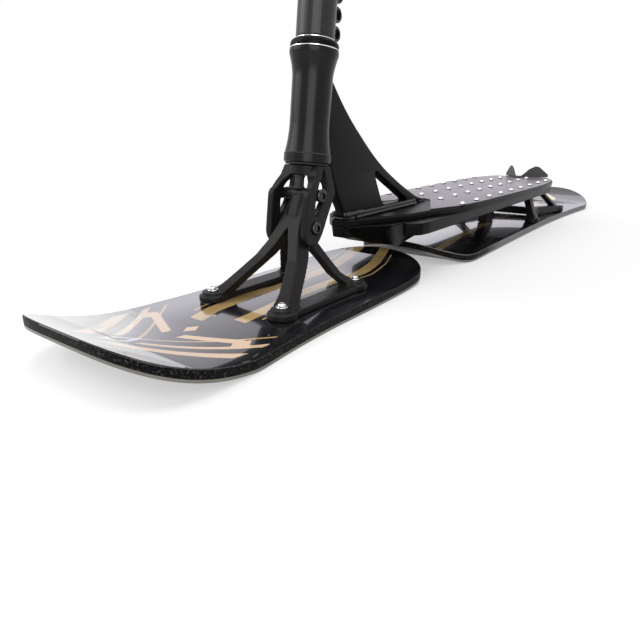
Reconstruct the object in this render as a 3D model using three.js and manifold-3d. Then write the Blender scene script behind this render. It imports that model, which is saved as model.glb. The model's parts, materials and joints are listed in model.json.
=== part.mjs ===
import * as THREE from "three";
import { mergeVertices } from "three/addons/utils/BufferGeometryUtils.js";
import { ConvexGeometry } from "three/addons/geometries/ConvexGeometry.js";
import Module from "manifold-3d";

const wasm = await Module();
wasm.setup();

// Snow scooter, millimetres: +X forward, +Y to the rider's left, +Z up.
// Both halves are drawn from the point where the steering axis meets the snow.

// Layout
const noseReach = 269; // steering axis to the front ski's tip
const tailReach = 1032; // steering axis to the rear ski's tip
const steerX = (tailReach - noseReach) / 2; // keeps the whole part centred on the origin
const rakeDegrees = 7; // the steering axis leans back
const rake = THREE.MathUtils.degToRad(rakeDegrees);
const gap = 0.3; // clearance between pieces that touch
const overrun = 6; // how far a cut runs past what it cuts

// Skis: plain lengths, with powers for how square the plan of each end is, where 2 is round
const ski = { thick: 11, base: 1.8, edge: 2.4 };
const frontSki = {
  nose: noseReach,
  tail: -186,
  noseWidth: 189,
  waist: 170,
  tailWidth: 164,
  noseRound: 104,
  tailRound: 67,
  nosePower: 4.2,
  tailPower: 2.1,
  noseLift: 34,
  noseRun: 121,
  tailLift: 15,
  tailRun: 96,
};
const rearSki = {
  nose: -219,
  tail: -tailReach,
  noseWidth: 179,
  waist: 173,
  tailWidth: 203,
  noseRound: 85,
  tailRound: 113,
  nosePower: 2.2,
  tailPower: 2.3,
  noseLift: 20,
  noseRun: 66,
  tailLift: 25,
  tailRun: 101,
};
const skiTop = ski.thick + gap; // where a foot rests

// Head tube and headset, heights along the steering axis
const head = {
  bottom: 146,
  length: 107.5,
  flangeRadius: 25,
  waistRadius: 20.6,
  band: 9.5,
  bore: 16.6,
  lowFlare: 32,
  topFlare: 22,
  lip: 4,
};
const headTop = head.bottom + head.length;
const bearing = { outer: 20.8, high: 7.2 };
const crownRace = { outer: 19, high: 2 };
const trimRing = { high: 1.2, outer: 24.9, wide: 6 };
const dustCap = { low: 24.6, top: 20.2, high: 7, rim: 2.2 };
const spacer = { high: 1.2, outer: 19.9 };

// Steerer and what is clamped on it
const steerer = { outer: 14.3, inner: 11.5, stickUp: 48 };
const clamp = { outer: 19.5, high: 70, slit: 2.4, lugDepth: 8.5, lugWide: 22, lugHigh: 15, bolts: 4 };
const bar = { outer: 15.9, inner: 13.4, high: 545, wide: 560, seat: 6 };
const grip = { outer: 18.4, long: 135, ribs: 5, ribDepth: 0.9 };
const barEnd = { cap: 3.5, plug: 20, wall: 2.4 };
const starNut = { high: 5, drop: 26 };
const pinchBolt = { radius: 2.4, head: 4.2, headHigh: 5 };
const stemBolt = { radius: 3.8, head: 13.6, headHigh: 2.6, socket: 2.6 };

// Fork: f runs forward of the steering axis and s up along it
const crown = { radius: 21.5, high: 10 };
const crownTop = head.bottom - crownRace.high - gap;
const crownLow = crownTop - crown.high;
const leg = {
  inner: 19.6,
  thick: 7.6,
  bottom: 62,
  deep: 50,
  shoulder: 120,
  rootInset: 8.5,
  corner: 5,
  windowCorner: 2,
};
const forkBolt = { radius: 3.9, head: 7, headHigh: 3, socket: 2.6 };
const forkBoltPlaces = [
  ["upper", 8, 114],
  ["lower", 13, 81],
];
const forkNut = { radius: 7.2, high: 5 };
const bumper = { radius: 5.9, forward: 11 };

// Front truck
const truck = {
  hubTop: 119,
  hubBottom: 62,
  hubDeep: 40,
  boltFront: 82,
  boltRear: -41,
  boltSide: 47,
  footRadius: 14.5,
  footHigh: 10,
  railHigh: 6.5,
  railWide: 22,
  ridgeHalf: 8,
};
// The middle of each truck leg from the hub down to its foot, and its size there
const truckLegs = {
  front: {
    places: [
      [14, 12, 70],
      [27, 23.5, 53.5],
      [41, 30, 42],
      [73, 43, 22],
    ],
    sizes: [
      [18, 14, 16],
      [11, 12, 10],
      [10, 12.5, 7.5],
      [12, 14, 8],
    ],
  },
  rear: {
    places: [
      [-1, 13, 68],
      [-8, 25, 49],
      [-20, 32, 31],
      [-35, 43, 20],
    ],
    sizes: [
      [14, 14, 14],
      [9, 10, 9],
      [8, 9.5, 7],
      [10, 12, 7],
    ],
  },
};
const skiBolt = { radius: 2.9, head: 5.6, headHigh: 4, washer: 8.2, washerHigh: 1.4, bite: 7, socket: 2.6 };

// Deck
const deck = {
  top: 80,
  plate: 8,
  tip: -60,
  tipHalf: 13,
  shoulder: -158,
  shoulderHalf: 76,
  neck: -124,
  neckHalf: 55,
  mid: -360,
  midHalf: 81,
  flare: -540,
  rear: -765,
  rearHalf: 86,
  cornerRound: 44,
};
const gripSheet = { thick: 1.2, inset: 4 };
const stud = { base: 3.6, tip: 2.2, high: 3.4, pitch: 50.9, rowPitch: 46.5, first: -275, perRow: 9 };
const sideRail = { wide: 11, high: 11, front: -172, rear: -716, inset: 3, taper: 4 };
const plateLow = deck.top - gripSheet.thick - gap - deck.plate;
const deckUnder = plateLow - gap; // where what hangs under the deck starts

// Down tube, a welded plate between the head tube and the deck
const downTube = { half: 7, rear: -292, headBehind: 22, headHigh: 231, corner: 10 };
const weldRib = {
  half: 17,
  topHalf: 10.5,
  high: 6.5,
  front: -76,
  rear: -296,
  nose: 17,
  heel: 42,
  heelHalf: 8,
};
const ribTop = deck.top + weldRib.high + gap; // where the down tube stands

// Keel under the deck's front
const keel = {
  front: -64,
  chin: -112,
  rear: -330,
  chinHigh: 57,
  bottom: 31,
  bottomFront: -188,
  bottomRear: -236,
  topHalf: 52,
  bottomHalf: 20,
};

// Tail stop
const tailStop = {
  front: -672,
  rear: -758,
  half: 40,
  thick: 3,
  bandDeep: 22,
  bandBack: 8,
  finThick: 3,
  finHigh: 20,
};

// Rear truck: a plate under the deck, a middle bar, and arms out to four feet
const rearTruck = {
  plateFront: -606,
  plateRear: -726,
  plateHalf: 58,
  plateThick: 7,
  bar: -690,
  barHalf: 54,
  barHigh: 17,
  boltFront: -606,
  boltRear: -778,
  boltSide: 75,
  footRadius: 13,
  footHigh: 8,
  armThick: 15,
  postFront: -501,
  postRear: -565,
  postHalf: 13,
  boomHigh: 14,
};

// Solids

function finish(hex, roughness, metalness) {
  return new THREE.MeshStandardMaterial({ color: hex, roughness, metalness });
}
const satinBlack = () => finish(0x1b1b1c, 0.42, 0.75);
const deckGrey = () => finish(0x6d6873, 0.6, 0.35);
const glossBlack = () => finish(0x0c0c0e, 0.12, 0.1);
const baseBlack = () => finish(0x202022, 0.5, 0);
const steel = () => finish(0xb9bab8, 0.3, 0.9);
const chrome = () => finish(0xdadada, 0.12, 1);
const rubber = () => finish(0x151515, 0.85, 0);

function solidOf(geometry) {
  const bare = geometry.clone();
  for (const name of Object.keys(bare.attributes)) {
    if (name !== "position") bare.deleteAttribute(name);
  }
  const merged = mergeVertices(bare, 1e-4);
  const mesh = new wasm.Mesh({
    numProp: 3,
    vertProperties: new Float32Array(merged.attributes.position.array),
    triVerts: new Uint32Array(merged.index.array),
  });
  return new wasm.Manifold(mesh);
}

function geometryOf(solid) {
  const mesh = solid.getMesh();
  const points = new Float32Array(mesh.numVert * 3);
  for (let i = 0; i < mesh.numVert; i++) {
    points.set(mesh.vertProperties.subarray(i * mesh.numProp, i * mesh.numProp + 3), i * 3);
  }
  const geometry = new THREE.BufferGeometry();
  geometry.setAttribute("position", new THREE.BufferAttribute(points, 3));
  geometry.setIndex(new THREE.BufferAttribute(new Uint32Array(mesh.triVerts), 1));
  return geometry;
}

const join = (parts) => parts.reduce((sum, part) => sum.add(part));
const cut = (solid, tools) => tools.reduce((left, tool) => left.subtract(tool), solid);

function addMesh(group, name, solid, material) {
  const geometry = geometryOf(solid);
  geometry.computeVertexNormals();
  const mesh = new THREE.Mesh(geometry, material);
  mesh.name = name;
  group.add(mesh);
}

// A ring or disc about Z, from its [radius, height] outline.
function turned(outline, segments = 24) {
  const points = outline.map(([r, h]) => new THREE.Vector2(r, h));
  if (outline[0][0] > 0) points.push(points[0].clone());
  return solidOf(new THREE.LatheGeometry(points, segments).rotateX(Math.PI / 2));
}

function ring(inner, outer, low, high, segments) {
  const outline = [
    [inner, low],
    [outer, low],
    [outer, high],
    [inner, high],
  ];
  return turned(outline, segments);
}

function rod(radius, low, high, segments = 16) {
  const shape = new THREE.CylinderGeometry(radius, radius, high - low, segments).rotateX(Math.PI / 2);
  return solidOf(shape.translate(0, 0, (low + high) / 2));
}

function box(x0, x1, y0, y1, z0, z1) {
  const shape = new THREE.BoxGeometry(x1 - x0, y1 - y0, z1 - z0);
  return solidOf(shape.translate((x0 + x1) / 2, (y0 + y1) / 2, (z0 + z1) / 2));
}

const hull = (points) => solidOf(new ConvexGeometry(points.map((p) => new THREE.Vector3(...p))));

// The eight corners of a box about a centre, for a hull.
function corners([x, y, z], [sx, sy, sz]) {
  const signs = [-1, 1];
  return signs.flatMap((i) =>
    signs.flatMap((j) => signs.map((k) => [x + (i * sx) / 2, y + (j * sy) / 2, z + (k * sz) / 2])),
  );
}

// A box section that runs from one place to the next, each with its own size.
function limb(places, sizes) {
  const pieces = [];
  for (let i = 1; i < places.length; i++) {
    pieces.push(hull([...corners(places[i - 1], sizes[i - 1]), ...corners(places[i], sizes[i])]));
  }
  return join(pieces);
}

// An outline given as shares of a box, in real sizes.
const inBox = (shares, x0, x1, z0, z1) => shares.map(([a, b]) => [x0 + a * (x1 - x0), z0 + b * (z1 - z0)]);

// A side view outline, in X and Z, made thick across Y.
function sideGeometry(outline, y0, y1) {
  const shape = new THREE.Shape(outline.map(([x, z]) => new THREE.Vector2(x, z)));
  const geometry = new THREE.ExtrudeGeometry(shape, { depth: y1 - y0, bevelEnabled: false });
  return geometry.rotateX(Math.PI / 2).translate(0, y1, 0);
}
const sidePlate = (outline, y0, y1) => solidOf(sideGeometry(outline, y0, y1));

// A plan outline, in X and Y, made thick up Z.
function planPlate(outline, low, high) {
  const shape = new THREE.Shape(outline.map(([x, y]) => new THREE.Vector2(x, y)));
  const geometry = new THREE.ExtrudeGeometry(shape, { depth: high - low, bevelEnabled: false });
  return solidOf(geometry.translate(0, 0, low));
}

// The corners of an outline made round.
function rounded(outline, radius, steps = 4) {
  const out = [];
  outline.forEach((point, i) => {
    const here = new THREE.Vector2(...point);
    const before = new THREE.Vector2(...outline[(i + outline.length - 1) % outline.length]);
    const after = new THREE.Vector2(...outline[(i + 1) % outline.length]);
    const reach = Math.min(radius, here.distanceTo(before) / 2, here.distanceTo(after) / 2);
    const start = here.clone().add(before.sub(here).setLength(reach));
    const end = here.clone().add(after.sub(here).setLength(reach));
    for (const p of new THREE.QuadraticBezierCurve(start, here, end).getPoints(steps)) out.push([p.x, p.y]);
  });
  return out;
}

const roundedBlock = (x0, x1, half, radius) =>
  rounded(
    [
      [x0, -half],
      [x1, -half],
      [x1, half],
      [x0, half],
    ],
    radius,
  );

const mirrorY = (points) => points.map(([x, y]) => [x, -y]).reverse();
const across = (solid) => solid.mirror([0, 1, 0]);
const sides = [
  ["left", 1],
  ["right", -1],
];

// Turned into the leaning frame of the steering axis, or onto a line across the scooter
const lean = (solid) => solid.rotate([0, -rakeDegrees, 0]);
const turnAcross = (solid) => solid.rotate([-90, 0, 0]);

// Screws: a shank along Z with a button head and a hexagon socket
function screw(size, tip, seat) {
  const { radius, head: wide, headHigh, socket } = size;
  const top = seat + headHigh;
  const shoulderShare = 0.45;
  const crownShare = 0.68;
  const button = turned(
    [
      [0, seat],
      [wide, seat],
      [wide, seat + headHigh * shoulderShare],
      [wide * crownShare, top],
      [0, top],
    ],
    16,
  );
  const shank = rod(radius, tip, seat + gap, 12);
  return shank.add(button).subtract(rod(socket, seat + headHigh / 2, top + overrun, 6));
}

// Skis

function skiHalfWidth(plan, x) {
  const front = plan.nose - plan.noseRound;
  const back = plan.tail + plan.tailRound;
  if (x > front) {
    const share = Math.min((x - front) / plan.noseRound, 1);
    return (plan.noseWidth / 2) * (1 - share ** plan.nosePower) ** (1 / plan.nosePower);
  }
  if (x < back) {
    const share = Math.min((back - x) / plan.tailRound, 1);
    return (plan.tailWidth / 2) * (1 - share ** plan.tailPower) ** (1 / plan.tailPower);
  }
  const middle = (front + back) / 2;
  const share = Math.abs(x - middle) / (front - middle);
  const end = x > middle ? plan.noseWidth : plan.tailWidth;
  return (plan.waist + (end - plan.waist) * share * share) / 2;
}

function skiLift(plan, x) {
  const noseShare = Math.max((x - plan.nose + plan.noseRun) / plan.noseRun, 0);
  const tailShare = Math.max((plan.tail + plan.tailRun - x) / plan.tailRun, 0);
  return plan.noseLift * noseShare ** 2 + plan.tailLift * tailShare ** 2;
}

// Stations along a ski: close together where it turns up and where its ends are round.
const skiEndShares = [0.004, 0.03, 0.08, 0.16, 0.27, 0.4, 0.55, 0.72, 0.88, 1];
const skiMiddleSteps = 6;

function skiStations(plan) {
  const nose = Math.max(plan.noseRound, plan.noseRun);
  const tail = Math.max(plan.tailRound, plan.tailRun);
  const from = plan.nose - nose;
  const to = plan.tail + tail;
  const list = skiEndShares.map((share) => plan.nose - share * nose);
  for (let i = 1; i < skiMiddleSteps; i++) list.push(from + ((to - from) * i) / skiMiddleSteps);
  return list.concat(skiEndShares.map((share) => plan.tail + share * tail).reverse());
}

// The ski's outline drawn in by an inset, between two heights above its running surface.
function skiLoft(plan, inset, low, high) {
  const inner = {
    ...plan,
    nose: plan.nose - inset,
    tail: plan.tail + inset,
    noseWidth: plan.noseWidth - 2 * inset,
    waist: plan.waist - 2 * inset,
    tailWidth: plan.tailWidth - 2 * inset,
  };
  const stations = skiStations(inner);
  const last = stations.length - 1;
  const points = stations.flatMap((station, i) => {
    const half = skiHalfWidth(inner, station);
    const lift = skiLift(plan, station);
    let x = station;
    if (i === 0) x = inner.nose;
    if (i === last) x = inner.tail;
    return [x, half, lift + low, x, half, lift + high, x, -half, lift + high, x, -half, lift + low];
  });
  const faces = [0, 1, 2, 0, 2, 3];
  for (let i = 0; i < last; i++) {
    for (let j = 0; j < 4; j++) {
      const a = i * 4 + j;
      const b = i * 4 + ((j + 1) % 4);
      faces.push(a, a + 4, b, b, a + 4, b + 4);
    }
  }
  faces.push(last * 4, last * 4 + 2, last * 4 + 1, last * 4, last * 4 + 3, last * 4 + 2);
  const geometry = new THREE.BufferGeometry();
  geometry.setAttribute("position", new THREE.Float32BufferAttribute(points, 3));
  geometry.setIndex(faces);
  return solidOf(geometry);
}

function addSki(group, name, plan, bolts) {
  const core = skiLoft(plan, 0, ski.base + gap, ski.thick);
  const low = ski.thick - skiBolt.bite - gap;
  const hole = rod(skiBolt.radius + gap, low, skiTop + overrun, 12);
  const holes = bolts.map(([x, y]) => hole.translate(x, y, 0));
  addMesh(group, name, cut(core, holes), glossBlack());
  addMesh(group, name + "_base", skiLoft(plan, ski.edge + gap, 0, ski.base), baseBlack());
  const inside = skiLoft(plan, ski.edge, -overrun, ski.base + overrun);
  addMesh(group, name + "_edge", skiLoft(plan, 0, 0, ski.base).subtract(inside), steel());
}

// Screws down into a ski through the feet that stand on it, on washers where asked.
function addSkiBolts(group, name, places, footTop, onWashers) {
  const seat = footTop + gap + (onWashers ? skiBolt.washerHigh + gap : 0);
  places.forEach(([x, y], i) => {
    const bolt = screw(skiBolt, ski.thick - skiBolt.bite, seat).translate(x, y, 0);
    addMesh(group, name + "_" + boltNames[i], bolt, steel());
    if (!onWashers) return;
    const disc = ring(skiBolt.radius + gap, skiBolt.washer, footTop + gap, seat - gap, 14);
    addMesh(group, name + "_washer_" + boltNames[i], disc.translate(x, y, 0), steel());
  });
}

const fourBolts = ({ boltFront, boltRear, boltSide }) => [
  [boltFront, boltSide],
  [boltFront, -boltSide],
  [boltRear, boltSide],
  [boltRear, -boltSide],
];
const boltNames = ["front_left", "front_right", "rear_left", "rear_right"];

// Holes for the bolts through a foot, and the wells that let their heads in from above
function boltRoom(places, footTop, head) {
  return places.flatMap(([x, y]) => [
    rod(skiBolt.radius + gap, -overrun, footTop + overrun, 12).translate(x, y, 0),
    rod(head + 2 * gap, footTop, footTop + deck.top, 20).translate(x, y, 0),
  ]);
}

// Head tube

const lowFlareShares = [
  [0.2, 0.36],
  [0.45, 0.7],
  [0.7, 0.91],
  [1, 1],
];
const topFlareShares = [
  [0.5, 0.25],
  [0.8, 0.64],
];

// The outside of the head tube from bottom to top: a band, a long waist and a lip.
function headOutline(grow) {
  const { bottom, flangeRadius, waistRadius, band, lowFlare, topFlare, lip } = head;
  const flare = flangeRadius - waistRadius;
  const topStart = headTop - lip - topFlare;
  const low = bottom + band;
  return [
    [flangeRadius + grow, bottom - grow],
    [flangeRadius + grow, low],
    ...lowFlareShares.map(([up, inward]) => [flangeRadius - flare * inward + grow, low + lowFlare * up]),
    [waistRadius + grow, topStart],
    ...topFlareShares.map(([up, out]) => [waistRadius + flare * out + grow, topStart + topFlare * up]),
    [flangeRadius + grow, headTop - lip],
    [flangeRadius + grow, headTop + grow],
  ];
}

function addHeadTube(group) {
  const cup = bearing.outer + gap;
  const cupDepth = bearing.high + gap;
  const inside = [
    [cup, headTop],
    [cup, headTop - cupDepth],
    [head.bore, headTop - cupDepth],
    [head.bore, head.bottom + cupDepth],
    [cup, head.bottom + cupDepth],
    [cup, head.bottom],
  ];
  addMesh(group, "head_tube", turned([...headOutline(0), ...inside], 30), satinBlack());
}

// Headset

const bore = steerer.outer + gap; // what slides over the steerer
const capLow = headTop + trimRing.high + 2 * gap;
const spacerLow = capLow + dustCap.high + gap;
const clampLow = spacerLow + spacer.high + gap;
const clampTop = clampLow + clamp.high;
const steererTop = clampLow + steerer.stickUp;
const stemTop = steererTop + gap + stemBolt.headHigh;
const barLow = stemTop + bar.seat;
const barTop = clampTop + bar.high;

function addHeadset(group) {
  const low = head.bottom + gap;
  const top = headTop - gap;
  addMesh(group, "lower_bearing", ring(bore, bearing.outer, low, low + bearing.high - gap), steel());
  addMesh(group, "upper_bearing", ring(bore, bearing.outer, top - bearing.high + gap, top), steel());
  const race = ring(bore, crownRace.outer, head.bottom - crownRace.high, head.bottom);
  addMesh(group, "crown_race", race, steel());
  const trimInner = trimRing.outer - trimRing.wide;
  addMesh(group, "compression_ring", ring(bore, trimInner - gap, headTop, capLow - gap), steel());
  const trim = ring(trimInner, trimRing.outer, headTop + gap, headTop + gap + trimRing.high, 30);
  addMesh(group, "headset_trim_ring", trim, chrome());
  const domeWideShare = 0.7;
  const domeHighShare = 0.68;
  const domeWide = dustCap.top + (dustCap.low - dustCap.top) * domeWideShare;
  const capTop = capLow + dustCap.high;
  const cap = [
    [bore, capLow],
    [dustCap.low, capLow],
    [dustCap.low, capLow + dustCap.rim],
    [domeWide, capLow + dustCap.high * domeHighShare],
    [dustCap.top, capTop],
    [bore, capTop],
  ];
  addMesh(group, "headset_cap", turned(cap, 30), satinBlack());
  addMesh(group, "headset_spacer", ring(bore, spacer.outer, spacerLow, spacerLow + spacer.high), chrome());
}

// Clamp: a split tube with a row of lugs behind, each pinched by a bolt across the slit

function addClamp(group) {
  const seat = bar.outer + gap;
  const half = clamp.lugWide / 2;
  const roundHalf = clamp.lugHigh / 2;
  const pinchBack = clamp.outer + pinchBolt.radius; // bolts pass just behind the tube
  const back = clamp.outer + clamp.lugDepth;
  const low = clampLow - overrun;
  const high = clampTop + overrun;
  const pitch = clamp.high / clamp.bolts;
  const heights = Array.from({ length: clamp.bolts }, (_, i) => clampLow + pitch * i + pitch / 2);
  const lug = (s) => {
    const neck = box(-back + roundHalf, -seat, -half, half, s - roundHalf, s + roundHalf);
    const nose = turnAcross(rod(roundHalf, -half, half, 12)).translate(-back + roundHalf, 0, s);
    return neck.add(nose);
  };
  const pinchHole = (s) => {
    const hole = rod(pinchBolt.radius + gap, -half - overrun, half + overrun, 10);
    const pocket = rod(pinchBolt.head + gap, half - pinchBolt.headHigh, half + overrun, 14);
    return turnAcross(hole.add(pocket)).translate(-pinchBack, 0, s);
  };
  const tube = rod(clamp.outer, clampLow, clampTop, 28);
  const slit = box(-back - overrun, 0, -clamp.slit / 2, clamp.slit / 2, low, high);
  const cuts = [rod(seat, low, high, 24), slit, ...heights.map(pinchHole)];
  addMesh(group, "bar_clamp", cut(join([tube, ...heights.map(lug)]), cuts), satinBlack());
  heights.forEach((s, i) => {
    const headLow = half - pinchBolt.headHigh + gap;
    const shank = rod(pinchBolt.radius, -half + gap, headLow + gap, 10);
    const cap = rod(pinchBolt.head, headLow, half, 14);
    const socket = rod(pinchBolt.radius, half - pinchBolt.headHigh / 2, half + overrun, 6);
    const bolt = turnAcross(shank.add(cap).subtract(socket)).translate(-pinchBack, 0, s);
    addMesh(group, "clamp_bolt_" + (i + 1), bolt, satinBlack());
  });
}

function addSteererParts(group) {
  addMesh(group, "steerer_shim", ring(bore, bar.outer, clampLow, steererTop - gap), steel());
  const nutTop = steererTop - starNut.drop;
  const nutLow = nutTop - starNut.high;
  const nut = ring(stemBolt.radius + gap, steerer.inner - gap, nutLow, nutTop, 20);
  addMesh(group, "star_nut", nut, steel());
  addMesh(group, "compression_bolt", screw(stemBolt, nutLow - gap, steererTop + gap), satinBlack());
}

// Handlebar

function addHandlebar(group) {
  const half = bar.wide / 2 - barEnd.cap - gap;
  const ontoBar = (solid) => turnAcross(solid).translate(0, 0, barTop);
  const post = rod(bar.outer, barLow, barTop, 28);
  const cross = ontoBar(rod(bar.outer, -half, half, 28));
  const postBore = rod(bar.inner, barLow - overrun, barTop, 24);
  const crossBore = ontoBar(rod(bar.inner, -half - overrun, half + overrun, 24));
  addMesh(group, "handlebar", cut(post.add(cross), [postBore, crossBore]), satinBlack());
  const pitch = grip.long / grip.ribs;
  const crestShare = 0.55;
  const valleyShares = [0.66, 0.89];
  const sleeve = [[bar.outer + gap, half - grip.long]];
  for (let i = 0; i < grip.ribs; i++) {
    const start = half - grip.long + i * pitch;
    sleeve.push([grip.outer, start], [grip.outer, start + crestShare * pitch]);
    if (i === grip.ribs - 1) continue;
    for (const share of valleyShares) sleeve.push([grip.outer - grip.ribDepth, start + share * pitch]);
  }
  sleeve.push([grip.outer, half], [bar.outer + gap, half]);
  const plugRadius = bar.inner - gap;
  const plug = ring(plugRadius - barEnd.wall, plugRadius, half - barEnd.plug, half + 2 * gap, 20);
  const cap = rod(grip.outer, half + gap, half + gap + barEnd.cap, 24);
  for (const [name, side] of sides) {
    const turn = (solid) => (side > 0 ? ontoBar(solid) : across(ontoBar(solid)));
    addMesh(group, name + "_grip", turn(turned(sleeve, 18)), rubber());
    addMesh(group, name + "_bar_end", turn(plug.add(cap)), satinBlack());
  }
}

// Fork: steerer, crown and two windowed legs that bend in to the crown

const legOutlineShares = [
  [-0.28, 1],
  [-0.08, 0.525],
  [0.16, 0.085],
  [0.34, 0],
  [0.5, 0.025],
  [0.6, 0.17],
  [0.58, 0.915],
  [0.49, 1],
];
const legWindowShares = [
  [0.05, 0.8],
  [0.31, 0.8],
  [0.3, 0.54],
  [0.24, 0.53],
];
// Each strut's two edges, at the leg's shoulder and at the crown
const strutShares = [
  [-0.28, -0.07, -0.26, -0.03],
  [0.28, 0.49, 0.02, 0.22],
];
const legTop = (crownLow + crownTop) / 2;

function forkLeg() {
  const { inner, thick, deep, bottom, shoulder, rootInset, corner, windowCorner } = leg;
  const inLeg = (shares) => inBox(shares, 0, deep, bottom, shoulder);
  const plate = sidePlate(rounded(inLeg(legOutlineShares), corner, 2), inner, inner + thick);
  const window = rounded(inLeg(legWindowShares), windowCorner, 3);
  const struts = strutShares.map((shares) => {
    const [low0, low1, top0, top1] = shares.map((share) => share * deep);
    const level = (f, y, s) => [
      [f, y, s],
      [f, y + thick, s],
    ];
    return hull([
      ...level(low0, inner, shoulder - gap),
      ...level(low1, inner, shoulder - gap),
      ...level(top0, inner - rootInset, legTop),
      ...level(top1, inner - rootInset, legTop),
    ]);
  });
  return cut(join([plate, ...struts]), [sidePlate(window, inner - overrun, inner + thick + overrun)]);
}

function addFork(group) {
  const oneLeg = forkLeg();
  const post = rod(steerer.outer, crownLow, steererTop, 28);
  const disc = rod(crown.radius, crownLow, crownTop, 32);
  const made = join([disc, post, oneLeg, across(oneLeg)]);
  const reach = leg.inner + leg.thick + overrun;
  const holes = forkBoltPlaces.map(([, f, s]) =>
    turnAcross(rod(forkBolt.radius + gap, -reach, reach, 14)).translate(f, 0, s),
  );
  const inside = rod(steerer.inner, crownLow - overrun, steererTop + overrun, 24);
  addMesh(group, "fork", cut(made, [inside, ...holes]), satinBlack());
}

function addForkBolts(group) {
  const face = leg.inner + leg.thick + gap;
  const end = face + forkNut.high + gap;
  for (const [name, f, s] of forkBoltPlaces) {
    const place = (solid) => turnAcross(solid).translate(f, 0, s);
    addMesh(group, "fork_bolt_" + name, place(screw(forkBolt, -end, face)), steel());
    const nut = rod(forkNut.radius, -face - forkNut.high, -face, 6);
    const hole = rod(forkBolt.radius + gap, -end - overrun, 0, 14);
    addMesh(group, "fork_nut_" + name, place(nut.subtract(hole)), satinBlack());
  }
}

// Front truck: a hub between the fork's legs, four legs, and a rail under each pair of feet

const hubShares = [
  [-0.22, 0.02],
  [0.3, 0],
  [0.6, 0.18],
  [0.52, 0.54],
  [0.32, 1],
  [-0.18, 1],
  [-0.28, 0.75],
];
const ridgeShares = [
  [0.45, 0.07],
  [0.78, 0.21],
  [0.6, 0.59],
  [0.42, 1],
  [0.12, 1],
];
function truckLeg({ places, sizes }, side) {
  return limb(
    places.map(([x, y, z]) => [x, side * y, z]),
    sizes,
  );
}

function addTruck(group) {
  const half = leg.inner - gap;
  const inHub = (shares) => inBox(shares, 0, truck.hubDeep, truck.hubBottom, truck.hubTop);
  const hub = lean(sidePlate(inHub(hubShares), -half, half));
  const ridge = lean(sidePlate(inHub(ridgeShares), -truck.ridgeHalf, truck.ridgeHalf));
  const footTop = skiTop + truck.footHigh;
  const parts = [];
  for (const [, side] of sides) {
    parts.push(truckLeg(truckLegs.front, side), truckLeg(truckLegs.rear, side));
    const y = side * truck.boltSide;
    for (const x of [truck.boltFront, truck.boltRear]) {
      parts.push(rod(truck.footRadius, skiTop, footTop, 22).translate(x, y, 0));
    }
    const railHalf = truck.railWide / 2;
    const railTop = skiTop + truck.railHigh;
    parts.push(box(truck.boltRear, truck.boltFront, y - railHalf, y + railHalf, skiTop, railTop));
  }
  // The legs stay inside the fork
  const reach = leg.inner + leg.thick + overrun;
  const forkRoom = [1, -1].map((side) => {
    const room = box(-leg.deep, leg.deep, half, reach, leg.bottom - gap, crownTop);
    return lean(side > 0 ? room : across(room));
  });
  const places = fourBolts(truck);
  const holes = forkBoltPlaces.map(([, f, s]) =>
    lean(turnAcross(rod(forkBolt.radius + gap, -reach, reach, 14)).translate(f, 0, s)),
  );
  const cuts = [...forkRoom, ...boltRoom(places, footTop, skiBolt.washer), ...holes];
  addMesh(group, "front_truck", cut(join([hub, ridge, ...parts]), cuts), satinBlack());
  addSkiBolts(group, "front_ski_bolt", places, footTop, true);
  const pad = rod(bumper.radius, truck.hubTop + gap, crownLow - gap, 20).translate(bumper.forward, 0, 0);
  addMesh(group, "fork_bumper", lean(pad), rubber());
}

// Deck: a plate with a rail under each side, and a studded sheet on top

const deckSide = [
  [deck.tip, deck.tipHalf],
  [deck.neck, deck.neckHalf],
  [deck.shoulder, deck.shoulderHalf],
  [deck.mid, deck.midHalf],
  [deck.flare, deck.rearHalf],
];
const cornerSteps = 6;

// The plan of the deck drawn in by an inset.
function deckOutline(inset) {
  const side = deckSide.map(([x, half], i) => [i ? x : x - inset, half - inset]);
  const round = deck.cornerRound;
  for (let i = 0; i <= cornerSteps; i++) {
    const angle = (Math.PI / 2) * (i / cornerSteps);
    const x = deck.rear + inset + round * (1 - Math.sin(angle));
    side.push([x, deck.rearHalf - inset - round * (1 - Math.cos(angle))]);
  }
  return [...mirrorY(side), ...side];
}

function deckHalf(x) {
  const i = deckSide.findIndex(([stop]) => x > stop);
  if (i < 1) return deck.rearHalf;
  const [x0, half0] = deckSide[i - 1];
  const [x1, half1] = deckSide[i];
  return half0 + ((half1 - half0) * (x - x0)) / (x1 - x0);
}

function sideRailSolid(side) {
  const { wide, high, front, rear, inset, taper } = sideRail;
  const stops = [front, deck.mid, deck.flare, rear];
  const outer = stops.map((x) => [x, deckHalf(x) - inset]);
  const pieces = [];
  for (let i = 1; i < stops.length; i++) {
    const ends = [outer[i - 1], outer[i]].flatMap(([x, y]) => [
      [x, side * y, deckUnder],
      [x, side * (y - wide), deckUnder],
      [x, side * (y - taper), deckUnder - high],
      [x, side * (y - wide), deckUnder - high],
    ]);
    pieces.push(hull(ends));
  }
  return join(pieces);
}

function addDeck(group) {
  addMesh(group, "deck_plate", planPlate(deckOutline(0), plateLow, plateLow + deck.plate), satinBlack());
  for (const [name, side] of sides) addMesh(group, name + "_deck_rail", sideRailSolid(side), satinBlack());
}

const studRowShares = [0, 0.6, 0.2, -0.2]; // each row starts at its own share of the pitch

function studPlaces() {
  const places = [];
  studRowShares.forEach((rowShare, row) => {
    const y = ((studRowShares.length - 1) / 2 - row) * stud.rowPitch;
    for (let i = 0; i < stud.perRow; i++) places.push([stud.first - (i + rowShare) * stud.pitch, y]);
  });
  const room = stud.base + tailStop.finThick + gap;
  return places.filter(([x, y]) => x > tailStop.front + room || Math.abs(Math.abs(y) - wingY(x)) > room);
}

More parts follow.
